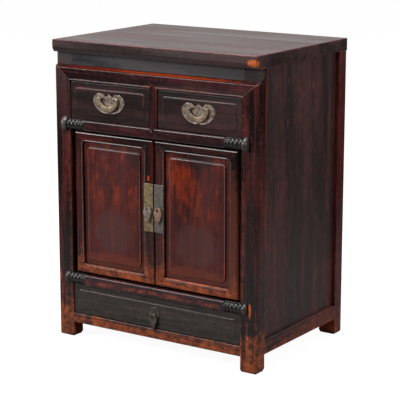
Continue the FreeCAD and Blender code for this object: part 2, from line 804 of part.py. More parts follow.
def pull_plate(x, y, z):
    """Shaped plate behind a bail: a peak and two lobes along the top, a round lower edge."""
    outline = [(a * pull_plate_half_width, b * pull_plate_half_height) for a, b in pull_plate_outline]
    plate = Part.Face(Part.Wire(arcs_between(outline))).extrude(Vector(0, plate_thickness, 0))
    plate.translate(Vector(x, y, z))
    return plate


def drawer(x0, x1, z0, z1, z_run):
    """A drawer's wood: front with a raised field, two sides, back and bottom, as a dictionary."""
    border = drawer_recess + drawer_field_height
    y_front = drawer_recess + drawer_front_thickness
    y_end = back_post_front - drawer_back_gap
    z_side = z_run + runner_gap
    z_side_top = z1 - drawer_side_clearance_above
    t = drawer_side_thickness
    m = drawer_field_margin
    board = block(x0, x1, border, y_front, z0, z1)
    field = rounded_rectangle_prism(x0 + m, x1 - m, z0 + m, z1 - m, drawer_field_corner,
                                    drawer_recess, y_front)
    front_edges = [e for e in field.Edges
                   if near(e.BoundBox.YMin, drawer_recess) and near(e.BoundBox.YMax, drawer_recess)]
    field = field.makeChamfer(drawer_field_bevel, front_edges)
    front = joined([board, field])
    sides = [block(x0, x0 + t, y_front - drawer_side_lap, y_end, z_side, z_side_top),
             block(x1 - t, x1, y_front - drawer_side_lap, y_end, z_side, z_side_top)]
    g = drawer_groove_depth
    z_bottom = z_side + drawer_bottom_raise
    bottom = block(x0 + t - g, x1 - t + g, y_front - g, y_end, z_bottom, z_bottom + drawer_bottom_thickness)
    back = block(x0 + t, x1 - t, y_end - t, y_end, z_bottom + drawer_bottom_thickness, z_side_top)
    return {"front": cut_by(front, sides + [bottom]),
            "sides": [side.cut(bottom) for side in sides],
            "back": back,
            "bottom": bottom}


def save_drawer(name, wood, pins, holes):
    save(name + "_front", cut_by(wood["front"], holes))
    save(name + "_sides", *wood["sides"])
    save(name + "_back", wood["back"])
    save(name + "_bottom", wood["bottom"])
    save(name + "_eye_pins" if len(pins) > 1 else name + "_eye_pin", *pins)


def make_case():
    front_post = post(True)
    back_post = post(False)
    rail = side_rail()
    boards = side_boards()
    back_low = back_bottom_rail()
    front_joints = [top_rail_blank(), middle_rail(), lower_rail(), bottom_rail(), rail] + boards
    back_joints = back_rails() + [back_low, rail] + boards + back_boards()
    front_post = cut_by(front_post, front_joints)
    back_post = cut_by(back_post, back_joints)
    save("post_front_right", front_post)
    save("post_front_left", mirrored(front_post))
    save("post_back_right", back_post)
    save("post_back_left", mirrored(back_post))
    save("top_rail", top_rail())
    save("middle_rail", middle_rail())
    save("lower_rail", lower_rail())
    save("bottom_rail", bottom_rail())
    save("muntin", muntin())
    save("waist_band", waist_band())
    save("side_rail_right", rail)
    save("side_rail_left", mirrored(rail))
    save("side_panel_right", *boards)
    save("side_panel_left", *[mirrored(board) for board in boards])
    save("back_bottom_rail", back_low)
    save("back_rails", *back_rails())
    save("back_panel", *back_boards())
    save("dust_board", dust_board())
    save("cupboard_floor", cupboard_floor())
    save("drawer_runners", *drawer_runners())


def make_top():
    members = top_frame()
    save("top_front", members["front"])
    save("top_back", members["back"])
    save("top_ends", members["left"], members["right"])
    save("top_panel", *top_panel())
    save("top_batten", batten())


def make_doors():
    members = door_members()
    panel = door_panel()
    plate_x = door_middle_gap / 2 + meeting_stile_width / 2
    eye_z = (door_bottom + door_top) / 2 + door_plate_above_middle
    y_plate = door_recess - plate_thickness
    plate = rounded_rectangle_prism(plate_x - door_plate_width / 2, plate_x + door_plate_width / 2,
                                    eye_z - door_plate_height / 2, eye_z + door_plate_height / 2,
                                    door_plate_corner, y_plate, door_recess)
    hole = pin_hole(plate_x, eye_z, y_plate, door_back)
    pin = eye_pin(plate_x, y_plate, eye_z, door_back)
    pieces = {
        "hinge_stile": [members["hinge"]],
        "meeting_stile": [members["meeting"].cut(hole)],
        "rails": [members["top"], members["bottom"]],
        "panel": [panel],
        "plate": [plate.cut(hole)],
        "eye_pin": [pin],
        "pendant": [pendant(plate_x, y_plate - eye_standoff, eye_z)],
    }
    for name, solids in pieces.items():
        save("right_door_" + name, *solids)
        save("left_door_" + name, *[mirrored(solid) for solid in solids])


def make_top_drawers():
    x0 = muntin_width / 2 + drawer_side_gap
    x1 = post_inner - drawer_side_gap
    z0 = mid_rail_top + drawer_bottom_gap
    z1 = top_rail_bottom - drawer_top_gap
    middle = (x0 + x1) / 2
    plate_z = (z0 + z1) / 2
    eye_z = plate_z + eye_above_plate_middle
    y_plate = drawer_recess - plate_thickness
    y_back = drawer_recess + drawer_front_thickness
    wood = drawer(x0, x1, z0, z1, mid_rail_top)
    eyes = [middle - eye_half_spacing, middle + eye_half_spacing]
    pins = [eye_pin(x, y_plate, eye_z, y_back) for x in eyes]
    holes = [pin_hole(x, eye_z, y_plate, y_back) for x in eyes]
    plate = cut_by(pull_plate(middle, y_plate, plate_z), holes)
    handle = bail(middle, y_plate - eye_standoff, eye_z)
    save_drawer("right_drawer", wood, pins, holes)
    save("right_drawer_plate", plate)
    save("right_drawer_bail", handle)
    other = {name: [mirrored(s) for s in solid] if name == "sides" else mirrored(solid)
             for name, solid in wood.items()}
    save_drawer("left_drawer", other, [mirrored(p) for p in pins], [mirrored(h) for h in holes])
    save("left_drawer_plate", mirrored(plate))
    save("left_drawer_bail", bail(-middle, y_plate - eye_standoff, eye_z))


def make_bottom_drawer():
    x1 = post_inner - drawer_side_gap
    z0 = bottom_rail_top + drawer_bottom_gap
    z1 = lower_rail_bottom - drawer_top_gap
    plate_z = (z0 + z1) / 2
    eye_z = plate_z - round_plate_eye_drop
    y_plate = drawer_recess - plate_thickness
    y_back = drawer_recess + drawer_front_thickness
    wood = drawer(-x1, x1, z0, z1, bottom_rail_top)
    hole = pin_hole(0, eye_z, y_plate, y_back)
    plate = Part.makeCylinder(round_plate_radius, plate_thickness, Vector(0, y_plate, plate_z),
                              Vector(0, 1, 0))
    save_drawer("bottom_drawer", wood, [eye_pin(0, y_plate, eye_z, y_back)], [hole])
    save("bottom_drawer_plate", plate.cut(hole))
    save("bottom_drawer_pendant", pendant(0, y_plate - eye_standoff, eye_z))


os.makedirs("parts", exist_ok=True)
make_case()
make_top()
make_doors()
make_top_drawers()
make_bottom_drawer()
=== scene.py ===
# %% [markdown]
# # A lacquered side cupboard
# This lesson dresses a small wooden cupboard: two drawers over a pair of panelled doors over one
# wide drawer. Its wood is covered with old lacquer, almost black on the frame and deep red on the
# doors, rubbed through to an orange brown where hands and feet have passed. Most of the wood comes
# from the imported frame. The ribbed rails, the members of the doors and all the brass are modelled
# finer here. We start by loading the frame.

# %% Load the frame
import bmesh
import bpy
import json
import math
import numpy as np
from functools import partialmethod
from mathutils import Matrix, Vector


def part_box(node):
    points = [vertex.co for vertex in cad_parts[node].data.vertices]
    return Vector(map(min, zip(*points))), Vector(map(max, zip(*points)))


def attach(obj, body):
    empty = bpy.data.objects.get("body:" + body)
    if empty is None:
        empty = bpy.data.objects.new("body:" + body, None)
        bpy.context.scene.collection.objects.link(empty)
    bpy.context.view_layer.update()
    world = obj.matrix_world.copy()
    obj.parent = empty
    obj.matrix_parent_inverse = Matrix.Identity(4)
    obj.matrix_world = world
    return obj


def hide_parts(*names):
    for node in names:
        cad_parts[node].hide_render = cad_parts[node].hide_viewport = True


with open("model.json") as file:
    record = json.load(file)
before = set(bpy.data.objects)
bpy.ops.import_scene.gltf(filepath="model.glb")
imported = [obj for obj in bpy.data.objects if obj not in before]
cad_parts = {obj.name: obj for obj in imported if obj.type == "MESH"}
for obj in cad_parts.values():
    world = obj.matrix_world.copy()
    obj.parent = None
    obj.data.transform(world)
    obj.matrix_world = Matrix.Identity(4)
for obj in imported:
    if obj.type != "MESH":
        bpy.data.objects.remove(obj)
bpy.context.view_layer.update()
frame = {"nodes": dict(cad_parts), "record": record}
nodes = frame["nodes"]
print("nodes of the frame:", len(nodes))

# %% [markdown]
# ## Small helpers for shader nodes
# A material is a graph, and a graph is easier to read as sums than as a list of links. A `Wire` is
# one output of a node. It can be added, subtracted and multiplied like a number, and each time
# that makes one more Math node. `add` makes any node and fills its inputs: a number or a colour is
# set on the socket, and a wire is linked to it.

# %% Wires


class Wire:
    """An output of a node, to reckon with as with a number."""

    def __init__(self, node, output=0):
        self.node, self.output, self.tree = node, output, node.id_data

    def maths(self, operation, other=0.0):
        """One Math node on this wire."""
        return add(self.tree, "ShaderNodeMath", {0: self, 1: other}, operation=operation)

    __add__ = partialmethod(maths, "ADD")
    __sub__ = partialmethod(maths, "SUBTRACT")
    __mul__ = partialmethod(maths, "MULTIPLY")
    __abs__ = partialmethod(maths, "ABSOLUTE")
    larger = partialmethod(maths, "MAXIMUM")
    smaller = partialmethod(maths, "MINIMUM")

    def between(self, low, high, start=0.0, end=1.0):
        """The range low to high taken onto start to end, smooth and held at both ends."""
        return add(self.tree, "ShaderNodeMapRange", {
            "Value": self, "From Min": low, "From Max": high, "To Min": start, "To Max": end},
            interpolation_type="SMOOTHSTEP")

    def into(self, node, key):
        """Links the wire to a node's input."""
        self.tree.links.new(self.node.outputs[self.output], node.inputs[key])


def add(tree, kind, inputs=None, output=0, **settings):
    """The wire from a new node: settings are its options, inputs go to its sockets."""
    node = tree.nodes.new(kind)
    for name, value in settings.items():
        setattr(node, name, value)
    for key, value in (inputs or {}).items():
        if isinstance(value, Wire):
            value.into(node, key)
        elif node.inputs[key].type == "RGBA":
            node.inputs[key].default_value = (*value, 1.0)
        else:
            node.inputs[key].default_value = value
    return Wire(node, output)


def new_material(name):
    """A material with its tree and its shader."""
    material = bpy.data.materials.new(name)
    material.use_nodes = True
    tree = material.node_tree
    return material, tree, tree.nodes["Principled BSDF"]


print("a wire can be added, subtracted, multiplied, compared and held between two values")

# %% Places, noise and colours


def stretched(tree, scale=(1.0, 1.0, 1.0), shift=(0.0, 0.0, 0.0)):
    """The place on the object in metres, times a scale for each axis."""
    place = add(tree, "ShaderNodeTexCoord", output="Object")
    return add(tree, "ShaderNodeMapping", {"Vector": place, "Scale": scale, "Location": shift})


def axes(tree):
    """Three wires: the place across, along the depth and up, in metres."""
    parts = add(tree, "ShaderNodeSeparateXYZ", {0: stretched(tree)})
    return [Wire(parts.node, number) for number in range(3)]


def length(tree, vector):
    """How long a vector is."""
    return add(tree, "ShaderNodeVectorMath", {0: vector}, "Value", operation="LENGTH")


def noise(tree, scale, shift, detail, roughness, distortion=0.0):
    """Soft random values between 0 and 1, finer where the scale for an axis is larger."""
    return add(tree, "ShaderNodeTexNoise", {
        "Vector": stretched(tree, scale, shift), "Scale": 1.0, "Detail": detail,
        "Roughness": roughness, "Distortion": distortion})


def blend(tree, amount, first, second, how="MIX"):
    """Two colours mixed by an amount."""
    return add(tree, "ShaderNodeMix", {0: amount, 6: first, 7: second}, 2,
               data_type="RGBA", blend_type=how)


def grey(tree, value):
    """A colour of three equal parts."""
    return add(tree, "ShaderNodeCombineColor", {0: value, 1: value, 2: value})


def bump(tree, strength, depth, height):
    """The normal over a relief; depth is in metres."""
    return add(tree, "ShaderNodeBump",
               {"Strength": strength, "Distance": depth, "Height": height})


print("helpers ready")

# %% [markdown]
# ## Where the lacquer is rubbed away, and where corners get painted shade
# Lacquer wears first along edges that stick out. Cycles can find them: the Bevel node gives the
# normal that a rounded edge would have, and where it differs from the true normal we are close to
# an edge. Inner corners differ too, so the result is kept only where Ambient Occlusion sees
# an open place. The same Ambient Occlusion, read the other way, darkens the inner corners with
# painted shade.

# %% Edges and corners
edge_reach = 0.0022
corner_reach = 0.012
edge_samples = 6


def open_places(tree):
    """1 in the open, down to 0 deep in a corner."""
    return add(tree, "ShaderNodeAmbientOcclusion", {"Distance": corner_reach}, "AO",
               samples=edge_samples)


def rounded_normal(tree, radius):
    """The normal that the surface would have if its edges were rounded."""
    return add(tree, "ShaderNodeBevel", {"Radius": radius}, samples=edge_samples)


def outer_edges(tree, openness):
    """1 on the edges that stick out, 0 elsewhere."""
    true = add(tree, "ShaderNodeNewGeometry", output="Normal")
    same = add(tree, "ShaderNodeVectorMath", {0: rounded_normal(tree, edge_reach), 1: true},
               "Value", operation="DOT_PRODUCT")
    return same.between(0.998, 0.90) * openness.between(0.55, 0.9)


def near_place(tree, ragged, centre, reach):
    """1 inside a ragged ellipsoid round a place, with a reach for each axis, 0 outside."""
    shift = tuple(-c / r for c, r in zip(centre, reach))
    distance = length(tree, stretched(tree, tuple(1.0 / r for r in reach), shift))
    return (distance + ragged * 1.6).between(2.0, 1.6)


# Inner corners within corner_reach are darkened with painted shade.
print("edges are rubbed within", edge_reach, "m, painted corner shade lies within", corner_reach, "m")

# %% [markdown]
# ## Lines that only some pieces need
# The mitres of the door frames are closed and clean, so the edges there aren't rubbed. The top is
# rubbed along its rim, but not along its flush joints. Along a bead or a raised field runs a thin
# pale line, part rubbed lacquer and part painted highlight, and its mask is the distance to a
# rectangle with round corners.

# %% Mitres, rim and outlines
millimetre = 0.001
door_outline = (1.0, 230.0, 165.5, 507.0)
door_opening = (28.0, 205.0, 188.5, 484.0)


def off_the_mitres(tree):
    """0 on the mitres of the door frames, 1 away from them.

    A mitre runs where the share of the stile's width equals the share of the rail's width.
    """
    x, _, z = axes(tree)
    x = abs(x)
    shares = [(place - outer * millimetre) * (1 / ((inner - outer) * millimetre))
              for place, outer, inner in zip((x, x, z, z), door_outline, door_opening)]
    away = abs(shares[0].smaller(shares[1]) - shares[2].smaller(shares[3]))
    return away.between(0.08, 0.16)


def near_the_rim(tree):
    """1 close to the sides, the front and the back of the top and below its face, 0 between."""
    x, y, z = axes(tree)
    sides, front = abs(x).between(0.268, 0.272), y.between(-0.186, -0.190)
    back, below = y.between(0.196, 0.200), z.between(0.7185, 0.7165)
    return sides.larger(front).larger(back.larger(below))


# The thin pale line along a bead or a field is part rubbed lacquer and part painted highlight.
def outline_highlight_and_rub(tree, half_x, half_z, corner, offset, width):
    """1 on a thin line beside a rectangle with round corners, centred on each door's opening.

    The distance to such a rectangle is the length of what sticks out beyond its corner centres,
    less the corner radius. The offset is counted outwards.
    """
    x0, x1, z0, z1 = door_opening
    x, _, z = axes(tree)
    across = abs(abs(x) - (x0 + x1) / 2 * millimetre) - (half_x - corner)
    up = abs(z - (z0 + z1) / 2 * millimetre) - (half_z - corner)
    beyond = add(tree, "ShaderNodeCombineXYZ", {0: across.larger(0.0), 1: up.larger(0.0)})
    distance = length(tree, beyond) + across.larger(up).smaller(0.0) - (corner + offset)
    return abs(distance).between(width, width * 0.4)


print("a door's frame:", door_outline, "round its opening:", door_opening)

# %% [markdown]
# ## Lacquer on wood
# Old lacquer is a dark glaze over a red ground over wood. Each layer here is a colour and a mask:
# long streaks along the grain let the red ground through, a finer mottle keeps any stretch from
# looking even, pale specks are dents that show the filler, and edges and named places are rubbed
# down to the orange brown of the wood. Thin pale lines along outer edges and beads are part rubbed
# lacquer and part painted highlight, and inner corners are darkened with painted shade. The grain
# runs along one axis, so the coordinates are stretched along it, and one recipe serves uprights,
# rails and top.

# %% The lacquer recipe
# A pale grey pink for dented filler and for rubbed outer edges and beads, where it also serves as a
# painted highlight.
edge_dust_and_highlight = (0.15, 0.105, 0.10)
bare_orange = (0.35, 0.072, 0.013)
# Almost black: the painted shade laid into inner corners.
painted_corner_shade = (0.004, 0.002, 0.002)
fine_grain, long_streaks, broad_bands = (12.0, 330.0), (3.0, 75.0), (2.2, 16.0)


def grained(tree, axis, scales, shift, *rest):
    """Noise with one scale along the grain and another across it."""
    along, across = scales
    scale = tuple(along if axis == name else across for name in "XYZ")
    return noise(tree, scale, shift, *rest)


def lacquer(name, axis, dark, red, redness=0.5, flame=None, wear=0.5, dust=0.5, specks=0.5,
            roughness=0.30, low_wear=None, places=(), seed=0.0, worn=bare_orange, mitred=False,
            outline=None, rim_only=False):
    """Lacquered wood whose grain runs along one axis.

    redness: how much of the red ground shows. flame: colour, amount and the heights between which
    it fades in, for the bright tongues of the doors. wear and dust: how much of the outer edges is
    rubbed orange or left pale, the pale part being rubbed lacquer and a painted highlight. low_wear:
    the heights where it is full and where it ends, and an amount.
    places: centre, reach, amount and colour of each spot with a colour of its own. mitred: keeps
    the mitres of a door frame clean. outline: the pale line along a bead or a field, part rubbed
    lacquer and part painted highlight, as for outline_highlight_and_rub. rim_only: rubs the top
    along its rim and not along its flush joints.
    """
    material, tree, shader = new_material(name)
    shift = (seed, seed * 0.7, seed * 1.3)
    grain = grained(tree, axis, fine_grain, shift, 4.0, 0.6)
    streaks = grained(tree, axis, long_streaks, shift, 4.0, 0.6, 0.5)
    broad = grained(tree, axis, broad_bands, shift, 3.0, 0.5, 0.3)
    patches = noise(tree, (60.0, 60.0, 60.0), shift, 5.0, 0.7)
    chips = noise(tree, (230.0, 230.0, 230.0), shift, 4.0, 0.7)
    height = axes(tree)[2]
    openness = open_places(tree)

    ground = streaks * 0.5 + broad * 0.5
    colour = blend(tree, ground.between(0.60 - 0.3 * redness, 0.76 - 0.3 * redness), dark, red)
    if flame:
        tint, amount, fade_low, fade_high = flame
        smears = noise(tree, (38.0, 38.0, 10.0), shift, 2.0, 0.6)
        ragged = noise(tree, (170.0, 170.0, 26.0), shift, 3.0, 0.6)
        tongues = (smears * 0.62 + ragged * 0.38).between(0.47, 0.57)
        tongues = tongues * height.between(fade_low, fade_high, 0.12, 1.0)
        colour = blend(tree, tongues * amount, colour, tint)
    shade = grain.between(0.3, 0.7, 0.65, 1.3) * patches.between(0.3, 0.7, 0.65, 1.3)
    shade = grey(tree, shade)
    colour = blend(tree, 1.0, colour, shade, "MULTIPLY")
    worn = blend(tree, 1.0, worn, shade, "MULTIPLY")

    edges = outer_edges(tree, openness)
    if mitred:
        edges = edges * off_the_mitres(tree)
    if rim_only:
        edges = edges * near_the_rim(tree)
    rubbed = edges * patches.between(0.60 - 0.3 * wear, 0.70 - 0.3 * wear)
    if low_wear:
        full_height, no_height, amount = low_wear
        low = height.between(no_height, full_height)
        mottle = streaks * 0.45 + patches * 0.55 + low.between(0.0, 1.0, -0.20, 0.04)
        worn_low = low.between(0.0, 0.2) * mottle.between(0.36, 0.64)
        rubbed = rubbed.larger(worn_low * amount)
    # Pale lines on the outer edges: part rubbed lacquer, part painted highlight.
    dusty_and_highlit_edges = edges * streaks.between(0.66 - 0.35 * dust, 0.76 - 0.35 * dust)
    dents = noise(tree, (420.0, 420.0, 420.0), shift, 2.0, 0.5) + broad * 0.15
    dents = dents.between(0.80 - 0.07 * specks, 0.84 - 0.07 * specks)
    colour = blend(tree, dusty_and_highlit_edges * 0.8, colour, edge_dust_and_highlight)
    colour = blend(tree, rubbed, colour, worn)
    # Outline: a pale line along the bead or the field's edge, part rubbed lacquer and part painted
    # highlight, orange lower down.
    if outline:
        line = outline_highlight_and_rub(tree, *outline) * patches.between(0.30, 0.50, 0.25, 0.9)
        pale = blend(tree, height.between(0.30, 0.20), edge_dust_and_highlight, worn)
        colour = blend(tree, line, colour, pale)
    for centre, reach, amount, tint in places:
        ragged = chips if max(reach) < 0.03 else patches
        colour = blend(tree, near_place(tree, ragged, centre, reach) * amount, colour, tint)
    colour = blend(tree, dents * 0.7, colour, edge_dust_and_highlight)
    # Painted shade: where Ambient Occlusion finds a closed corner, the colour goes towards almost
    # black.
    colour = blend(tree, openness.between(0.75, 0.3, 0.0, 0.8), colour, painted_corner_shade)
    colour.into(shader, "Base Color")

    rough = broad.between(0.3, 0.7, roughness - 0.06, roughness + 0.10) + rubbed * 0.12
    rough.into(shader, "Roughness")
    surface = bump(tree, 0.30, 0.0007, grain * 0.3 + patches - dents * 0.6)
    if not mitred:
        rounded_normal(tree, 0.0016).into(surface.node, "Normal")
    surface.into(shader, "Normal")
    return material


print("scales of the grain, along and across:", fine_grain, long_streaks, broad_bands)

# %% [markdown]
# ## The lacquers of this cupboard
# The frame is almost black with a little oxblood, the door panels are deep red with orange
# tongues in their upper half, the wide drawer is olive black and the waist under the top is a
# bluish black. The named places are where the real cupboard has a chip or a rubbed stretch.

# %% Places with a colour of their own
# Each place has its centre, its reach along each axis, an amount and a colour.
black_glaze, oxblood = (0.008, 0.004, 0.004), (0.080, 0.010, 0.008)
maroon_glaze, maroon = (0.016, 0.007, 0.008), (0.052, 0.011, 0.012)
bright_orange, low_brown = (0.50, 0.10, 0.012), (0.150, 0.026, 0.009)
boss_black, boss_grey = (0.014, 0.015, 0.013), (0.10, 0.075, 0.070)
violet_grey = (0.085, 0.030, 0.029)


def both_sides(x, y, z, *rest):
    """The same place on the left and on the right."""
    return tuple(((side * x, y, z), *rest) for side in (-1, 1))


shoulder_places = (
    ((-0.15, -0.1845, 0.6585), (0.10, 0.0060, 0.0046), 0.8, (0.13, 0.010, 0.005)),
    ((0.05, -0.1845, 0.6585), (0.17, 0.0045, 0.0034), 0.95, (0.26, 0.030, 0.004)),
)
corner_chip = ((0.271, -0.196, 0.7035), (0.015, 0.010, 0.008), 1.0, bright_orange)
post_places = (
    ((0.2620, -0.190, 0.1490), (0.0035, 0.006, 0.017), 1.0, bright_orange),
    ((0.2800, -0.156, 0.600), (0.004, 0.0025, 0.080), 0.9, (0.22, 0.035, 0.010)),
    ((-0.2760, -0.190, 0.1500), (0.004, 0.006, 0.014), 0.9, (0.36, 0.055, 0.010)),
    ((-0.262, -0.190, 0.590), (0.030, 0.010, 0.090), 0.75, (0.022, 0.008, 0.008)),
) + both_sides(0.2585, -0.180, 0.677, (0.030, 0.020, 0.016), 0.8, (0.060, 0.053, 0.053))
boss_places = tuple(((side * 0.229, -0.197, z), (0.037, 0.05, 0.022), 0.94, boss_black)
                    for side in (-1, 1) for z in (0.1495, 0.523)) + (
    ((-0.251, -0.197, 0.523), (0.009, 0.05, 0.020), 0.85, boss_grey),
    ((0.252, -0.197, 0.523), (0.008, 0.05, 0.020), 0.35, boss_grey),
    ((-0.252, -0.197, 0.1495), (0.008, 0.05, 0.020), 0.25, boss_grey),
    ((0.252, -0.197, 0.1495), (0.008, 0.05, 0.020), 0.35, boss_grey),
)
waist_light = ((0.08, -0.180, 0.676), (0.20, 0.03, 0.04), 0.65, (0.100, 0.088, 0.092))
stile_places = (
    ((-0.0150, -0.187, 0.4180), (0.0030, 0.003, 0.006), 1.0, (0.45, 0.05, 0.012)),
    ((0.2170, -0.187, 0.300), (0.016, 0.02, 0.150), 0.55, (0.130, 0.028, 0.012)),
)
panel_places = both_sides(0.1165, -0.184, 0.275, (0.055, 0.02, 0.050), 0.5, violet_grey)
panel_places += both_sides(0.1165, -0.184, 0.203, (0.085, 0.02, 0.020), 0.55, low_brown)
panel_places += (((-0.046, -0.184, 0.458), (0.024, 0.02, 0.034), 0.5, black_glaze),
                 ((0.110, -0.184, 0.466), (0.050, 0.02, 0.016), 0.6, black_glaze))
# Pale lines along the doors' beads and fields: part rubbed lacquer, part painted highlight.
bead_line = (0.0885, 0.14775, 0.009, 0.0020, 0.0011)
field_line = (0.0765, 0.13575, 0.007, -0.0020, 0.0011)
print("places on the posts:", len(post_places), "and on the bosses:", len(boss_places))

# %% Lacquer colours
# The grain's axis, the dark glaze, the red ground and how much of it shows, then the rest.
lacquers = {
    "upright": ("Z", black_glaze, oxblood, 0.6, dict(
        specks=0.9, roughness=0.22, low_wear=(0.0, 0.20, 0.8), places=post_places)),
    "back post": ("Z", black_glaze, oxblood, 0.85, dict(
        wear=0.1, low_wear=(0.0, 0.12, 0.6), seed=1.0)),
    "across": ("X", maroon_glaze, maroon, 0.65, dict(
        roughness=0.20, specks=0.8, low_wear=(0.02, 0.12, 0.8), places=shoulder_places, seed=3.0)),
    "pivot rail": ("X", maroon_glaze, maroon, 0.6, dict(
        roughness=0.20, wear=0.35, dust=0.75, specks=0.7, low_wear=(0.04, 0.22, 0.9),
        places=boss_places, seed=3.5)),
    "deep": ("Y", black_glaze, oxblood, 0.5, dict(
        wear=0.45, low_wear=(0.03, 0.10, 0.5), seed=5.0)),
    "waist": ("X", (0.036, 0.036, 0.040), (0.068, 0.062, 0.068), 0.5, dict(
        wear=0.1, dust=0.3, specks=0.8, roughness=0.24, places=(waist_light,), seed=6.0)),
    "side": ("Z", (0.026, 0.015, 0.014), (0.070, 0.019, 0.018), 0.6, dict(
        wear=0.2, dust=0.2, specks=0.1, roughness=0.38, seed=7.0)),
    "top": ("X", (0.028, 0.015, 0.015), (0.056, 0.020, 0.018), 0.5, dict(
        wear=0.75, dust=0.3, specks=0.3, seed=9.0, worn=(0.24, 0.022, 0.010),
        places=(corner_chip,), rim_only=True)),
    "door": ("Z", (0.030, 0.004, 0.003), (0.066, 0.006, 0.004), 0.7, dict(
        flame=((0.21, 0.020, 0.002), 0.8, 0.30, 0.40), wear=0.15, dust=0.2, specks=0.3,
        places=panel_places, seed=11.0, outline=field_line)),
    "stile": ("Z", black_glaze, (0.080, 0.011, 0.007), 0.6, dict(
        wear=0.45, dust=0.8, roughness=0.24, low_wear=(0.165, 0.27, 0.6), places=stile_places,
        seed=13.0, mitred=True, outline=bead_line)),
    "door rail": ("X", (0.014, 0.006, 0.006), (0.085, 0.014, 0.012), 0.6, dict(
        wear=0.4, dust=0.8, roughness=0.20, low_wear=(0.16, 0.24, 1.0), seed=15.0,
        worn=(0.32, 0.065, 0.014), mitred=True, outline=bead_line)),
    "small drawer": ("X", (0.013, 0.006, 0.006), (0.042, 0.007, 0.008), 0.5, dict(
        wear=0.3, dust=0.8, seed=17.0)),
    "wide drawer": ("X", (0.028, 0.023, 0.018), (0.055, 0.036, 0.027), 0.5, dict(
        wear=0.4, dust=0.7, seed=19.0)),
}
finishes = {name: lacquer("lacquer " + name, *grounds, **rest)
            for name, (*grounds, rest) in lacquers.items()}
print("lacquers:", len(finishes))

# %% [markdown]
# ## Bare wood and brass
# Inside, nothing is lacquered: the drawer boxes, the boards and the runners are planed wood gone
# grey brown. The fittings are brass, dull and dark in the hollows, brighter where they are touched.

# %% Bare wood and brass


def bare_wood(name, axis, seed):
    """Planed wood without any finish."""
    material, tree, shader = new_material(name)
    shift = (seed, seed, seed)
    grain = grained(tree, axis, fine_grain, shift, 5.0, 0.6)
    streaks = grained(tree, axis, long_streaks, shift, 5.0, 0.6, 0.6)
    colour = blend(tree, streaks.between(0.3, 0.7), (0.17, 0.10, 0.055), (0.34, 0.22, 0.13))
    colour = blend(tree, grain.between(0.6, 0.75, 0.0, 0.5), colour, (0.10, 0.055, 0.03))
    colour.into(shader, "Base Color")
    shader.inputs["Roughness"].default_value = 0.7
    bump(tree, 0.3, 0.0005, grain).into(shader, "Normal")
    return material


def brass(name, dark, bright, seed):
    """Tarnished brass: dark in the hollows, bright where it is rubbed."""
    material, tree, shader = new_material(name)
    shift = (seed, seed, seed)
    clouds = noise(tree, (110.0, 110.0, 110.0), shift, 5.0, 0.65)
    specks = noise(tree, (700.0, 700.0, 700.0), shift, 3.0, 0.6)
    hollow = add(tree, "ShaderNodeAmbientOcclusion", {"Distance": 0.004}, "AO", samples=8)
    clean = clouds.between(0.3, 0.7) * hollow.between(0.35, 0.95)
    colour = blend(tree, clean, dark, bright)
    colour = blend(tree, specks.between(0.62, 0.75, 0.0, 0.6), colour, dark)
    colour.into(shader, "Base Color")
    shader.inputs["Metallic"].default_value = 0.6
    clouds.between(0.3, 0.7, 0.54, 0.37).into(shader, "Roughness")
    bump(tree, 0.2, 0.0003, clouds).into(shader, "Normal")
    return material


finishes["bare along x"] = bare_wood("bare wood across", "X", 2.0)
finishes["bare along y"] = bare_wood("bare wood along the depth", "Y", 4.0)
brass_tints = {
    "plate": ((0.085, 0.062, 0.048), (0.40, 0.315, 0.25)),
    "bail": ((0.11, 0.078, 0.050), (0.40, 0.30, 0.19)),
    "pin": ((0.06, 0.045, 0.032), (0.34, 0.27, 0.20)),
    "left_door_plate": ((0.12, 0.075, 0.035), (0.38, 0.29, 0.16)),
    "right_door_plate": ((0.10, 0.088, 0.072), (0.21, 0.19, 0.165)),
    "left_door_pendant": ((0.16, 0.125, 0.11), (0.46, 0.38, 0.34)),
    "right_door_pendant": ((0.20, 0.12, 0.08), (0.46, 0.29, 0.20)),
    "round plate": ((0.045, 0.034, 0.028), (0.13, 0.10, 0.082)),
    "bottom_drawer_pendant": ((0.045, 0.036, 0.030), (0.15, 0.12, 0.10)),
}
for number, (name, tints) in enumerate(brass_tints.items()):
    finishes[name] = brass("aged brass " + name.replace("_", " "), *tints, number)
print("finishes:", len(finishes))

# %% [markdown]
# ## Which finish goes where
# A node's name says what it is, so a short table of name endings is enough. The first line that
# fits is taken.

# %% Dress the frame
wearing = [
    ("plate", ("plate",)), ("pin", ("eye_pin", "eye_pins", "pendant")), ("bail", ("bail",)),
    ("bare along y", ("drawer_sides", "drawer_bottom", "batten", "drawer_runners")),
    ("bare along x", ("drawer_back", "back_rails", "dust_board", "cupboard_floor")),
    ("small drawer", ("left_drawer_front", "right_drawer_front")),
    ("wide drawer", ("bottom_drawer_front",)),
    ("door", ("door_panel",)), ("stile", ("stile",)), ("door rail", ("door_rails",)),
    ("top", ("top_front", "top_back", "top_ends", "top_panel")),
    ("side", ("side_panel_left", "side_panel_right", "back_panel")),
    ("deep", ("side_rail_left", "side_rail_right")),
    ("upright", ("muntin", "post_front_left", "post_front_right")),
    ("back post", ("post_back_left", "post_back_right")),
    ("across", ("rail",)), ("waist", ("waist_band",)),
]


def dress(piece, material):
    """Gives a piece one material."""
    piece.data.materials.clear()
    piece.data.materials.append(material)


for name, piece in nodes.items():
    dress(piece, finishes[next(finish for finish, ends in wearing if name.endswith(ends))])
print("dressed:", len(nodes))

# %% [markdown]
# ## Surfaces from grids of points
# Every new piece below is a surface worked out with numpy. A surface is a grid: its rows go from
# one end of the piece to the other and its columns go once round and join up. When the first and
# the last row shrink to a point the surface is closed, and that is all that a plate, a turned
# boss, a bail or a moulded rail needs. Lengths are in millimetres, as a joiner would write them.

# %% Grids
weld_distance = 2e-6
crease_angle = math.radians(40)


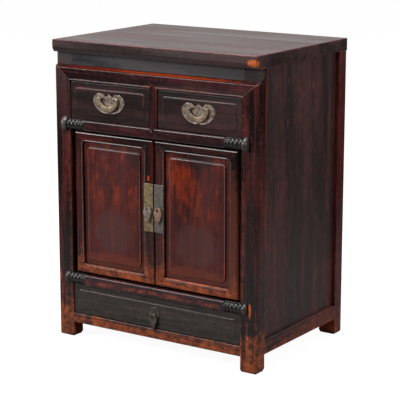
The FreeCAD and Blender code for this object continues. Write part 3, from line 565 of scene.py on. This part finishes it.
def grid_faces(rows, columns):
    """Corner numbers of the faces between neighbouring points; the last column joins the first."""
    row, column = np.meshgrid(np.arange(rows - 1), np.arange(columns), indexing="ij")
    beside = (column + 1) % columns
    corners = [row * columns + column, row * columns + beside,
               (row + 1) * columns + beside, (row + 1) * columns + column]
    return np.stack(corners, axis=-1).reshape(-1, 4)


def capped(grid):
    """The grid with a first and a last row that shrink to the middle of its ends."""
    first = np.broadcast_to(grid[:1].mean(axis=1, keepdims=True), grid[:1].shape)
    last = np.broadcast_to(grid[-1:].mean(axis=1, keepdims=True), grid[-1:].shape)
    return np.concatenate([first, grid, last])


def once_round(count):
    """The angles of so many points that go once round."""
    return np.linspace(0, 2 * math.pi, count, endpoint=False)


def backed(front, y_back, middle):
    """A plate: the rows of its front, its rim taken straight back to y_back, and a closed back."""
    rim = front[-1:].copy()
    rim[..., 1] = y_back
    return capped(np.concatenate([front, rim]))[1:] + middle


def smooth_step(value, low, high):
    """0 below low, 1 above high, and an S between them."""
    along = np.clip((value - low) / (high - low), 0.0, 1.0)
    return along * along * (3 - 2 * along)


print("a grid of 3 rows and 4 columns has", len(grid_faces(3, 4)), "faces")

# %% Closed meshes


def shown(name, mesh):
    """A new object in the scene."""
    piece = bpy.data.objects.new(name, mesh)
    bpy.context.scene.collection.objects.link(piece)
    return piece


def worked(piece):
    """The mesh that a piece's modifiers make."""
    evaluated = piece.evaluated_get(bpy.context.evaluated_depsgraph_get())
    return bpy.data.meshes.new_from_object(evaluated)


def welded(mesh, outwards=True):
    """The mesh with its doubled corners merged and, if asked, its faces turned outwards."""
    shell = bmesh.new()
    shell.from_mesh(mesh)
    bmesh.ops.remove_doubles(shell, verts=shell.verts, dist=weld_distance)
    if outwards:
        bmesh.ops.recalc_face_normals(shell, faces=shell.faces)
    shell.to_mesh(mesh)
    shell.free()
    return mesh


def even_shading(mesh):
    """Soft between faces that nearly agree, sharp at creases, and flat faces stay flat."""
    mesh.shade_smooth()
    mesh.set_sharp_from_angle(angle=crease_angle)
    piece = shown("shading", mesh)
    weighted = piece.modifiers.new("weighted", "WEIGHTED_NORMAL")
    weighted.keep_sharp = True
    weighted.weight = 90
    shaded = worked(piece)
    name = mesh.name
    bpy.data.meshes.remove(mesh)  # its object goes with it
    shaded.name = name
    return shaded


def solid(name, *grids):
    """One closed mesh from grids in millimetres."""
    points = np.concatenate([grid.reshape(-1, 3) for grid in grids]) * millimetre
    starts = np.cumsum([0] + [grid.shape[0] * grid.shape[1] for grid in grids[:-1]])
    faces = np.concatenate([grid_faces(*grid.shape[:2]) + start
                            for grid, start in zip(grids, starts)])
    mesh = bpy.data.meshes.new(name)
    mesh.from_pydata(points.tolist(), [], faces.tolist())
    return even_shading(welded(mesh))


print("corners nearer than", weld_distance, "m are one corner")

# %% Measures of the frame and the way onto it


def place(mesh, body, slot_name, finish, *replaced):
    """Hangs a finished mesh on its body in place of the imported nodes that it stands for."""
    piece = shown(mesh.name, mesh)
    dress(piece, finishes[finish])
    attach(piece, body)
    if replaced:
        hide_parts(*replaced)
    print(mesh.name, "faces:", len(mesh.polygons))


def node_points(node):
    """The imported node's corners in millimetres."""
    mesh = nodes[node].data
    flat = np.empty(len(mesh.vertices) * 3)
    mesh.vertices.foreach_get("co", flat)
    return flat.reshape(-1, 3) / millimetre


def box_of(node):
    """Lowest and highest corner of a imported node, and the middle of its face, in millimetres."""
    low, high = (np.array(corner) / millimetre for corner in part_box(node))
    return low, high, (low + high) / 2 * (1, 0, 1)


def joint_place(joint):
    """The place of a joint in millimetres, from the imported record."""
    joints = frame["record"]["behaviour"]["joints"]
    return np.array(next(j["pos_m"] for j in joints if j["name"] == joint)) / millimetre


print("the left door plate lies between", *box_of("left_door_plate")[:2])

# %% [markdown]
# ## The shaped plates behind the bails
# A smith cuts such a plate from sheet, hammers a raised rim, and chases scrolls and veins into it
# with a punch. The plate here is a polar grid: each point is a share of the way from the middle to
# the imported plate's own edge, and the rim, the chased lines and the pierced drops are added to its
# height. A drawn line is a polyline, and its groove is a bell of the distance to the nearest
# segment.

# %% Lines to chase
eye_spread, eye_rise, eye_clear = 17.0, 11.0, 4.0
rim_rise, rim_inset, rim_spread = 0.30, 1.5, 0.8
chased_depth, chased_spread = 0.22, 0.55
pierced_depth = 1.15
edge_drop = 0.45


def edge_distances(node, angles):
    """Distance from the node's middle to its outline at each angle, from its front corners.

    Corners in the middle and corners round the holes for the pins are left out.
    """
    low, _, middle = box_of(node)
    points = node_points(node)
    x, _, z = (points[points[:, 1] < low[1] + 0.01] - middle).T
    keep = np.hypot(x, z) > eye_clear
    for side in (-1, 1):
        keep &= np.hypot(x - side * eye_spread, z - eye_rise) > eye_clear
    turn = np.arctan2(z[keep], x[keep])
    order = np.argsort(turn)
    return np.interp(angles, turn[order], np.hypot(x, z)[keep][order], period=2 * math.pi)


def spiral(middle, radius, end_radius, start_turn, turns, count=60):
    """Points whose distance from the middle shrinks evenly while they go round."""
    along = np.linspace(0, 1, count)
    turn = 2 * math.pi * (start_turn + turns * along)
    reach = radius + (end_radius - radius) * along
    return np.stack([middle[0] + reach * np.cos(turn), middle[1] + reach * np.sin(turn)], axis=1)


def bow(start, bend, end, count=24):
    """Points of a curve that leaves start towards bend and arrives at end from there."""
    along = np.linspace(0, 1, count)[:, None]
    return (np.array(start) * (1 - along) ** 2 + 2 * np.array(bend) * along * (1 - along)
            + np.array(end) * along ** 2)


def distance_to_line(x, z, line):
    """Shortest distance from each point to the segments of a polyline."""
    nearest = np.full(x.shape, 1e9)
    for start, (step_x, step_z) in zip(line[:-1], np.diff(line, axis=0)):
        away_x, away_z = x - start[0], z - start[1]
        along = np.clip((away_x * step_x + away_z * step_z) / (step_x ** 2 + step_z ** 2), 0, 1)
        nearest = np.minimum(nearest, np.hypot(away_x - along * step_x, away_z - along * step_z))
    return nearest


chased_lines = [
    spiral((31.0, 6.0), 10.5, 2.0, 0.62, 1.7), spiral((12.5, 10.0), 5.5, 1.5, 0.95, 1.2, 36),
    bow((0.0, -17.0), (24.0, -17.0), (38.5, -4.0)), bow((2.5, -12.0), (14.0, -12.0), (22.0, -6.0)),
    bow((0.0, 1.0), (0.5, 8.0), (0.0, 18.0)), bow((2.0, 0.0), (5.0, 6.0), (4.5, 13.0)),
    bow((0.0, -4.0), (0.5, -8.0), (0.0, -14.0)), bow((3.0, -4.0), (7.0, -7.0), (9.0, -12.5)),
]
pierced_drops = [((36.5, -3.5), 1.7), ((23.5, 14.5), 1.3), ((27.5, -9.0), 1.2), ((7.5, 3.0), 1.1)]
print("lines and drops in half a plate:", len(chased_lines), len(pierced_drops))

# %% Chased plates


def chased_plate(name, body, angle_count=420, ring_count=92):
    """Polar grid from the middle of the front over the rim to the middle of the back."""
    low, high, middle = box_of(name)
    angles = np.linspace(-math.pi, math.pi, angle_count, endpoint=False)
    reach = edge_distances(name, angles)
    share = np.linspace(0.0, 1.0, ring_count)[:, None] ** 0.9
    x = share * reach * np.cos(angles)
    z = share * reach * np.sin(angles)
    inset = (1 - share) * reach
    groove = np.min([distance_to_line(np.abs(x), z, line) for line in chased_lines], axis=0)
    groove = chased_depth * np.exp(-(groove / chased_spread) ** 2) * smooth_step(inset, 1.5, 3.0)
    height = rim_rise * np.exp(-((inset - rim_inset) / rim_spread) ** 2) - groove
    for (drop_x, drop_z), radius in pierced_drops:
        away = np.hypot(np.abs(x) - drop_x, z - drop_z)
        height = height - pierced_depth * smooth_step(-away, -radius - 0.4, -radius + 0.3)
    height = height - edge_drop * smooth_step(-inset, -0.6, 0.0)
    grid = backed(np.stack([x, low[1] - height, z], axis=-1), high[1], middle)
    place(solid(name + "_chased", grid), body, "aged_brass", "plate", name)


chased_plate("left_drawer_plate", "left_top_drawer")
chased_plate("right_drawer_plate", "right_top_drawer")

# %% [markdown]
# ## Bails
# The bail is a cast crescent: its outer edge is part of one circle and its inner edge part of a
# smaller one set higher. Each row of the grid is a section between the two edges, fuller in front
# than behind, and the rows shrink over the last few millimetres to round the tips. Two pintles
# point inwards from the tips through the eyes.

# %% Bails
bail_edges = ((29.5, -1.5), (21.0, 3.0))
bail_tip_height, bail_tip_share = 4.0, 0.10
bail_front, bail_back, bail_tip_back = 1.35, 3.4, 1.5
pintle_radius, pintle_inner_end, pintle_outer_end = 1.45, 14.6, 23.0


def turned(profile, sides, axis, middle=(0.0, 0.0, 0.0)):
    """A profile of (distance along the axis, radius) carried once round the axis."""
    along, radius = np.array(profile, dtype=float).T
    turn = once_round(sides)
    grid = np.zeros((len(along), sides, 3))
    others = [a for a in range(3) if a != axis]
    grid[..., axis] = along[:, None]
    grid[..., others[0]] = radius[:, None] * np.cos(turn)
    grid[..., others[1]] = radius[:, None] * np.sin(turn)
    return grid + np.array(middle)


def crescent(eye_line, rows=120, columns=28):
    """Rows of half-round sections between two circles, from one tip to the other."""
    share = np.linspace(-1, 1, rows)
    share = np.sign(share) * (1 - (1 - np.abs(share)) ** 1.3)
    edges = []
    for radius, middle in bail_edges:
        turn = share * math.acos((middle - bail_tip_height) / radius)
        edges.append(np.stack([radius * np.sin(turn), middle - radius * np.cos(turn)], axis=1))
    outer, inner = edges
    end = np.clip((np.abs(share) - 1 + bail_tip_share) / bail_tip_share, 0, 1)
    shrink = np.sqrt(np.clip(1 - end ** 2, 0, 1))[:, None]
    turn = once_round(columns)
    wide = np.sign(np.cos(turn)) * np.abs(np.cos(turn)) ** 0.85
    forward = bail_front * np.maximum(np.sin(turn), 0) ** 0.55
    backward = np.maximum(-np.sin(turn), 0) ** 0.45
    middle = (outer + inner) / 2
    reach = (outer - inner) / 2 * shrink
    fuller = smooth_step(0.8 - np.abs(share), 0.0, 0.3)[:, None]
    thick = bail_tip_back + (bail_back - bail_tip_back) * fuller
    grid = np.zeros((rows, columns, 3))
    grid[..., 0] = middle[:, :1] + reach[:, :1] * wide
    grid[..., 1] = shrink * (thick * backward - forward)
    grid[..., 2] = middle[:, 1:] + reach[:, 1:] * wide
    return capped(grid) + np.array(eye_line)


def pintle(side, eye_line):
    """A short round pin with a domed inner end."""
    profile = [(pintle_inner_end, 0.0), (pintle_inner_end + 0.2, 0.9),
               (pintle_inner_end + 0.7, pintle_radius),
               (pintle_outer_end, pintle_radius), (pintle_outer_end, 0.0)]
    return turned([(side * along, radius) for along, radius in profile], 20, 0, eye_line)


for side in ("left", "right"):
    eye_line = joint_place(side + "_bail_swing")
    bail = solid(side + "_bail_cast", crescent(eye_line), pintle(1, eye_line), pintle(-1, eye_line))
    place(bail, side + "_bail", "aged_brass", "bail", side + "_drawer_bail")

# %% [markdown]
# ## Split pins
# A split pin is a strip of brass folded round the pintle: an eye in front, then a shank through
# the wood with a small washer under the eye, and two legs bent apart behind. The eye is a ring
# swept round the joint's own line, so the bail and the pendants really turn in it.

# %% Split pins
eye_ring_radius, eye_wire_radius = 2.55, 0.9
washer_radius = 4.2
shank_radius = 1.45
leg_reach = 10.5
pin_tail = 1.2


def ring(middle, rows=36, columns=14):
    """A wire of round section carried round the X axis."""
    around = np.linspace(0, 2 * math.pi, rows)[:, None]
    turn = once_round(columns)
    reach = eye_ring_radius + eye_wire_radius * np.cos(turn)
    grid = np.stack([np.broadcast_to(eye_wire_radius * np.sin(turn), (rows, columns)),
                     reach * np.cos(around), reach * np.sin(around)], axis=-1)
    return grid + np.array(middle)


def swept(path, half_width, half_height, columns=12):
    """An oval section carried along a path in the YZ plane; half_width is along X."""
    ahead = np.gradient(path, axis=0)
    ahead /= np.linalg.norm(ahead, axis=1, keepdims=True)
    turn = once_round(columns)
    grid = np.zeros((len(path), columns, 3))
    grid[..., 0] = half_width * np.cos(turn)
    grid[..., 1] = path[:, :1] - ahead[:, 1:] * half_height * np.sin(turn)
    grid[..., 2] = path[:, 1:] + ahead[:, :1] * half_height * np.sin(turn)
    return capped(grid)


def split_pin(x, eye, y_face, y_back):
    """Grids of one pin: ring, washer, shank and two legs."""
    at_eye = (x, 0.0, eye[2])
    washer = turned([(y_face, 0.0), (y_face, washer_radius), (y_face - 0.5, washer_radius),
                     (y_face - 0.9, washer_radius - 1.0), (y_face - 1.2, 1.9),
                     (y_face - 1.2, 0.0)], 28, 1, at_eye)
    shank = turned([(eye[1] + 2.7, 0.0), (eye[1] + 2.7, shank_radius),
                    (y_back + 0.4, shank_radius), (y_back + 0.9, 0.0)], 16, 1, at_eye)
    along = np.linspace(0, 1, 14)
    legs = []
    for way in (1, -1):
        path = [y_back - 0.2 + 0.9 * np.sqrt(along), way * (0.6 + leg_reach * along)]
        legs.append(swept(np.stack(path, axis=1), 1.4, 0.55) + np.array(at_eye))
    return [ring((x, eye[1], eye[2])), washer, shank] + legs


pins = [("left_drawer", "left_bail", "left_top_drawer"),
        ("right_drawer", "right_bail", "right_top_drawer"),
        ("left_door", "left_door_pendant", "left_door"),
        ("right_door", "right_door_pendant", "right_door"),
        ("bottom_drawer", "bottom_drawer_pendant", "bottom_drawer")]
for owner, swinging, body in pins:
    two = swinging.endswith("bail")
    node = owner + ("_eye_pins" if two else "_eye_pin")
    eye = joint_place(swinging + "_swing")
    y_plate, y_behind = box_of(owner + "_plate")[0][1], box_of(node)[1][1] - pin_tail
    grids = [grid for offset in ((-eye_spread, eye_spread) if two else (0.0,))
             for grid in split_pin(eye[0] + offset, eye, y_plate, y_behind)]
    place(solid(node + "_folded", *grids), body, "aged_brass", "pin", node)

# %% [markdown]
# ## Pendants
# Each pendant is a small leaf with a slot in its head, and a bar across the slot turns in the eye.
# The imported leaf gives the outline. Here every row across the leaf is a flat oval that is fuller
# in front, with a vein down the middle, and the slot is taken out of the closed leaf afterwards
# with a Boolean, because a slot would tear the rows apart.

# %% Joining and cutting


def combined(mesh, other, operation):
    """What two closed meshes give when they are joined or when one is taken out of the other."""
    first, second = shown("first", mesh), shown("second", other)
    change = first.modifiers.new("change", "BOOLEAN")
    change.object = second
    change.operation = operation
    change.solver = "EXACT"
    result = worked(first)
    bpy.data.meshes.remove(mesh)
    bpy.data.meshes.remove(other)
    return even_shading(result)


def block(low, high):
    """A box between two corners, as a mesh."""
    (x0, y0, z0), (x1, y1, z1) = low, high
    section = [[(x, y0, z0), (x, y1, z0), (x, y1, z1), (x, y0, z1)] for x in (x0, x1)]
    return solid("block", capped(np.array(section, dtype=float)))


print("meshes can be joined and cut")

# %% Pendants
leaf_half_thickness, leaf_swell = 0.95, 0.85
slot_half_width, slot_depth = 2.8, 5.8


def leaf(node, eye, rows=70, columns=36):
    """Rows of flat ovals from head to tip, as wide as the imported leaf.

    Its width at each height comes from the corners of its outline, without those of slot and bar.
    """
    points = node_points(node) - eye
    x, z = np.abs(points[:, 0]), points[:, 2]
    on_the_bar = (x < 3.95) & (np.abs(z) < 1.6)
    keep = ((x > 3.0) & ~on_the_bar) | (z < -30) | (z > 2.6)
    order = np.argsort(z[keep])
    heights = np.linspace(z.max() - 0.02, z.min() + 0.02, rows)
    half = np.interp(heights, z[keep][order], x[keep][order])
    half[0] = half[1] * 0.75
    turn = once_round(columns)
    wide = half[:, None] * np.cos(turn)
    fullness = leaf_swell * smooth_step(half, 0.0, 9.0)[:, None]
    front = (leaf_half_thickness + fullness) * np.maximum(np.sin(turn), 0) ** 0.7
    vein = 0.30 * np.exp(-(wide / 0.7) ** 2) * smooth_step(-heights, 7.0, 10.0)[:, None]
    back = leaf_half_thickness * np.maximum(-np.sin(turn), 0) ** 0.4
    tall = np.broadcast_to(heights[:, None], wide.shape)
    grid = np.stack([wide, back - front + vein * (np.sin(turn) > 0), tall], axis=-1)
    slot = block(eye + (-slot_half_width, -5.0, -slot_depth), eye + (slot_half_width, 5.0, 8.0))
    return combined(solid("leaf", capped(grid) + eye), slot, "DIFFERENCE")


def bar(eye):
    """Round bar across a pendant's slot."""
    reach = slot_half_width + 0.9
    return solid("bar", turned([(-reach, 0.0), (-reach, pintle_radius), (reach, pintle_radius),
                                (reach, 0.0)], 20, 0, eye))


for name in ("left_door", "right_door", "bottom_drawer"):
    body = name + "_pendant"
    eye = joint_place(body + "_swing")
    mesh = combined(leaf(body, eye), bar(eye), "UNION")
    mesh.name = body + "_cast"
    place(mesh, body, "aged_brass", body, body)

# %% [markdown]
# ## Door plates and the round plate
# The door plates are plain strips of sheet with softened edges. They are built like a stack of
# picture frames: each row of the grid is a rectangle with round corners, a little further in and
# a little higher than the last. The round plate is turned, with shallow petals chased into it.

# %% Stacked rectangles


def rectangle(x0, x1, z0, z1, radius, corner_points=8):
    """Corner arcs of a rectangle with round corners, once round, starting at the lower left."""
    turn = np.linspace(0, math.pi / 2, corner_points)
    middles = [(x0 + radius, z0 + radius, math.pi), (x1 - radius, z0 + radius, 1.5 * math.pi),
               (x1 - radius, z1 - radius, 0.0), (x0 + radius, z1 - radius, 0.5 * math.pi)]
    return np.concatenate([np.stack([x + radius * np.cos(turn + start),
                                     z + radius * np.sin(turn + start)], axis=1)
                           for x, z, start in middles])


def stacked(low, high, steps):
    """Rows of rectangles between two corners; a step is (inset, y, corner radius)."""
    rows = [np.insert(rectangle(low[0] + inset, high[0] - inset, low[2] + inset, high[2] - inset,
                                radius), 1, y, axis=1) for inset, y, radius in steps]
    return capped(np.array(rows))


for side in ("left", "right"):
    node = side + "_door_plate"
    low, high, _ = box_of(node)
    steps = [(0.0, high[1], 1.5), (0.0, low[1] + 0.7, 1.5), (0.15, low[1] + 0.3, 1.5),
             (0.5, low[1] + 0.05, 1.4), (1.0, low[1], 1.2), (1.6, low[1] + 0.12, 1.0)]
    sheet = solid(node + "_sheet", stacked(low, high, steps))
    place(sheet, side + "_door", "aged_brass", node, node)

# %% Round plate
petal_count, petal_depth = 16, 0.30


def petal_plate(node, body, rows=44, columns=192):
    """Turned dish whose height also swells and sinks round its rim."""
    low, high, middle = box_of(node)
    share = np.linspace(0, 1, rows)
    rise = 0.35 * np.exp(-((share - 0.34) / 0.07) ** 2) + 0.3 * np.exp(-((share - 0.9) / 0.05) ** 2)
    drop = 0.6 * smooth_step(share, 0.95, 1.0)
    radius = share * (high[0] - low[0]) / 2
    grid = turned(np.stack([low[1] - rise + drop, radius], axis=1), columns, 1)
    petals = np.abs(np.sin(petal_count / 2 * once_round(columns))) ** 0.5 - 1
    where = (smooth_step(share, 0.40, 0.5) * (1 - smooth_step(share, 0.8, 0.88)))[:, None]
    grid[..., 1] -= petal_depth * petals * where
    grid = backed(grid, high[1], middle)
    place(solid(node + "_chased", grid), body, "aged_brass", "round plate", node)


petal_plate("bottom_drawer_plate", "bottom_drawer")

# %% [markdown]
# ## Bosses turned in one with the rails
# The two rails that carry the doors' pivots end in ribbed bosses. A turner would rough out the
# bosses on the blank and a carver would shape the rail between them. Each boss here is a
# half-round turning: its rows run along the rail and each row is a disc that is cut flat behind,
# where the post or the rail's own wood begins. The cap is a polygon whose corners are cut again
# and again until it is a dome, and each rib rises from its valley like a power of a sine. The
# packed rail loses its own bosses to two boxes and is joined to the fine ones.

# %% Profile of a boss
case_side = 280.0
boss_line, post_face, post_edge = -187.0, -190.0, 43.0
cap_corners = ((0.0, 0.0), (0.0, 0.36), (0.04, 0.66), (0.17, 0.92), (0.44, 1.0), (0.74, 0.97),
               (1.0, 0.80))
rib_places = (37.0, 47.8, 58.6, 69.2, 77.4, 84.0)
rib_heights = (12.6, 12.5, 12.4, 12.2, 11.6)
rib_floor = 9.4


def corners_cut(points, times=3):
    """A polygon with every corner cut again and again, until it is a curve; its ends stay."""
    points = np.array(points, dtype=float)
    for _ in range(times):
        before, after = points[:-1], points[1:]
        inner = np.stack([0.75 * before + 0.25 * after, 0.25 * before + 0.75 * after], axis=1)
        points = np.concatenate([points[:1], inner.reshape(-1, 2), points[-1:]])
    return points


def boss_profile(cap_start, cap_radius):
    """(distance from the case's side, radius) from the cap to the last rib."""
    length_of_cap = rib_places[0] - cap_start
    cap = [(cap_start + length_of_cap * along, cap_radius * high) for along, high in cap_corners]
    rows = [corners_cut(cap)[1:], [(rib_places[0], rib_floor)]]
    for start, end, crown in zip(rib_places, rib_places[1:], rib_heights):
        share = np.linspace(0, 1, 15)[1:]
        rows.append(np.stack([start + (end - start) * share, rib_floor
                              + (crown - rib_floor) * np.sin(math.pi * share) ** 0.55], axis=1))
    return np.concatenate(rows)


print("points of a boss's profile:", len(boss_profile(22.0, 18.0)))

# %% Ribbed bosses


def flat_backed_discs(profile, z_middle, side, arc_points=44, chord_points=8):
    """Rows of discs cut flat at the post's face or, beside the post, at the turning axis."""
    out, radius = profile.T
    split = int(np.argmax(out >= post_edge))
    radius_there = np.interp(post_edge, out[split - 1:split + 1], radius[split - 1:split + 1])
    stations = [(u, r, post_face) for u, r in profile[:split]]
    stations += [(post_edge, radius_there, post_face), (post_edge, radius_there, boss_line)]
    stations += [(u, r, boss_line) for u, r in profile[split:]]
    rows = []
    for u, r, y_cut in stations:
        widest = math.acos(min(1.0, (boss_line - y_cut) / r))
        turn = np.linspace(-widest, widest, arc_points)
        arc = np.stack([boss_line - r * np.cos(turn), z_middle + r * np.sin(turn)], axis=1)
        chord = np.linspace(arc[-1], arc[0], chord_points + 2)[1:-1]
        rows.append(np.insert(np.concatenate([arc, chord]), 0, side * (case_side - u), axis=1))
    return capped(np.array(rows))


def merged_copy(node):
    """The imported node's mesh with its doubled corners merged."""
    return welded(nodes[node].data.copy(), outwards=False)


pivot_rails = (("middle_rail", 523.0, 22.0, 18.0), ("lower_rail", 149.5, 24.0, 15.0))
cut_start, cut_front, cut_half = 18.0, -215.0, 25.0
for node, z_middle, cap_start, cap_radius in pivot_rails:
    mesh = merged_copy(node)
    for side in (-1, 1):
        x0, x1 = sorted((side * (case_side - rib_places[-1]), side * (case_side - cut_start)))
        cut = block((x0, cut_front, z_middle - cut_half), (x1, boss_line, z_middle + cut_half))
        boss = solid("boss", flat_backed_discs(boss_profile(cap_start, cap_radius), z_middle, side))
        mesh = combined(combined(mesh, cut, "DIFFERENCE"), boss, "UNION")
    mesh.name = node + "_turned"
    place(mesh, "case", "dark_lacquer", "pivot rail", node)

# %% [markdown]
# ## Door frames with rounded faces
# Years of hands have rounded the outer edges of the door frames, and a fine bead runs round the
# opening. Stiles and rails are worked with the same plane, so one shape gives them all: a stack of
# rectangles that follows the frame's face from the outer edge, over the flat, down a quirk and over
# the bead to the opening. Each packed member is kept where it lies inside this shape.

# %% Door frames
frame_outer_rows = ((-1.0, 6.0), (0.0, 4.6), (0.6, 3.0), (1.4, 1.9), (2.6, 1.05), (4.2, 0.42),
                    (6.2, 0.12), (7.6, 0.05))
frame_inner_rows = ((4.8, 0.05), (4.2, 0.40), (3.6, 0.62), (3.1, 0.42), (2.7, 0.14), (2.1, 0.05),
                    (1.5, 0.16), (0.9, 0.75), (0.5, 1.3), (0.25, 2.0), (0.1, 3.0), (-1.0, 6.0))
door_front = -187.0
behind_door = 40.0
opening_corner, sharp_corner = 9.0, 0.2


def frame_envelope(side):
    """Everything behind the rounded face of one door's frame."""
    outer, inner = np.array(door_outline), np.array(door_opening)
    way = np.array([1.0, -1.0, 1.0, -1.0])
    levels = [(outer - way, behind_door, sharp_corner)]
    levels += [(outer + way * inset, drop, sharp_corner) for inset, drop in frame_outer_rows]
    levels += [(inner - way * inset, drop, opening_corner + inset)
               for inset, drop in frame_inner_rows]
    rows = [np.insert(rectangle(*sides, radius, 12) * (side, 1), 1, door_front + drop, axis=1)
            for sides, drop, radius in levels]
    return solid("envelope", capped(np.array(rows)))


for side, door in ((-1, "left_door"), (1, "right_door")):
    for member, finish in (("_hinge_stile", "stile"), ("_meeting_stile", "stile"),
                           ("_rails", "door rail")):
        node = door + member
        mesh = combined(merged_copy(node), frame_envelope(side), "INTERSECT")
        mesh.name = node + "_rounded"
        place(mesh, door, "dark_lacquer", finish, node)

# %% [markdown]
# ## Raised door panels
# A panel is one board. Its field stands up inside a sunk border, and its edge was rounded with a
# hollow plane. Its rows start at the back of the tongue that sits in the frame's groove.

# %% Door panels
field_rows = ((12.0, 0.0), (12.25, 1.9), (12.7, 2.9), (13.4, 3.55), (14.4, 3.9), (15.6, 4.0),
              (17.0, 4.0))
field_corner = 21.0
panel_face = -180.5

for door in ("left_door", "right_door"):
    node = door + "_panel"
    low, high, _ = box_of(node)
    tongue = (high[0] - low[0] - (door_opening[1] - door_opening[0])) / 2
    steps = [(0.0, high[1], sharp_corner), (0.0, panel_face, sharp_corner)]
    steps += [(tongue + inset, panel_face - rise, field_corner - inset)
              for inset, rise in field_rows]
    place(solid(node + "_raised", stacked(low, high, steps)), door, "red_lacquer", "door", node)

# %% [markdown]
# ## Floor, light and camera
# A pale floor that runs far back, a wide soft light over the cupboard, a softer one from the
# front left and a weak one on the right. The floor glows a little where the camera sees it
# straight, so that it fades into the backdrop. For all other rays it is darker, so it throws back
# less light on the cupboard, and a painted pool of light makes it brighter near the cupboard than
# far away. The camera stands to the right of the middle, a little above the top, with a long lens.

# %% Floor
floor_half = 12.0


def seen_straight(tree, elsewhere, straight):
    """One shader for what the camera sees without a mirror between, and one for all else."""
    direct = add(tree, "ShaderNodeLightPath", output="Is Camera Ray")
    return add(tree, "ShaderNodeMixShader", {0: direct, 1: elsewhere, 2: straight})


floor_mesh = bpy.data.meshes.new("floor")
floor_mesh.from_pydata([(-floor_half, -floor_half, 0), (floor_half, -floor_half, 0),
                        (floor_half, floor_half, 0), (-floor_half, floor_half, 0)],
                       [], [(0, 1, 2, 3)])
floor = shown("floor", floor_mesh)
paper, tree, _ = new_material("pale floor")
tree.nodes.clear()
# Painted pool of light: for reflected and bounced light only, the floor is brighter near the
# cupboard and darker far away.
painted_light_pool = grey(tree, length(tree, stretched(tree)).between(0.7, 2.4, 0.22, 0.04))
reflected = add(tree, "ShaderNodeBsdfDiffuse", {"Color": painted_light_pool})
glow = add(tree, "ShaderNodeEmission", {"Color": (1.0, 1.0, 1.0), "Strength": 0.94})
sheet = add(tree, "ShaderNodeBsdfDiffuse", {"Color": (0.22, 0.22, 0.22)})
seen = add(tree, "ShaderNodeAddShader", {0: glow, 1: sheet})
add(tree, "ShaderNodeOutputMaterial", {"Surface": seen_straight(tree, reflected, seen)})
dress(floor, paper)
print("floor:", 2 * floor_half, "m wide")

# %% Light
world = bpy.data.worlds.new("studio")
bpy.context.scene.world = world
world.use_nodes = True
sky = world.node_tree
sky.nodes.clear()
direction = add(sky, "ShaderNodeTexCoord", output="Generated")
backwards = add(sky, "ShaderNodeSeparateXYZ", {0: direction}, 1)
room = add(sky, "ShaderNodeBackground", {"Color": (1.0, 0.975, 0.97),
                                         "Strength": backwards.between(0.0, 0.7, 0.06, 0.62)})
backdrop = add(sky, "ShaderNodeBackground", {"Color": (1.0, 1.0, 1.0), "Strength": 1.0})
add(sky, "ShaderNodeOutputWorld", {"Surface": seen_straight(sky, room, backdrop)})


def soft_light(name, stand, aim, width, height, power):
    """A rectangle of light that looks at a point and stays out of the picture."""
    light = bpy.data.lights.new(name, "AREA")
    light.shape = "RECTANGLE"
    light.size = width
    light.size_y = height
    light.energy = power
    lamp = shown(name, light)
    lamp.location = stand
    lamp.rotation_euler = (Vector(aim) - Vector(stand)).to_track_quat("-Z", "Y").to_euler()
    lamp.visible_camera = False
    print(name + ":", power, "W")


soft_light("light above", (0.0, -0.45, 2.35), (0.0, -0.2, 0.0), 2.1, 1.5, 75.0)
soft_light("light from the front left", (-1.7, -2.3, 1.6), (0, 0, 0.35), 1.2, 1.4, 60.0)
soft_light("light from the right", (2.6, -0.6, 1.3), (0, 0, 0.35), 1.2, 1.6, 24.0)
bpy.context.scene.view_settings.view_transform = "Standard"

# %% Camera
image_width = 400.0
focal_length_pixels = 1548.02
sensor_width = 36.0
cupboard_height = 0.720
front_left_foot = np.array([-0.280, -0.190, 0.0])
heights_from_foot = np.array([3.1784, -3.8974, 1.5928])
tilt, turn = -0.2217, 0.5901
camera_data = bpy.data.cameras.new("camera")
camera_data.sensor_width = sensor_width
camera_data.lens = focal_length_pixels * sensor_width / image_width
camera = shown("camera", camera_data)
camera.location = front_left_foot + heights_from_foot * cupboard_height
camera.rotation_euler = (math.pi / 2 + tilt, 0, turn)
bpy.context.scene.camera = camera
print("lens:", round(camera_data.lens, 1), "mm")
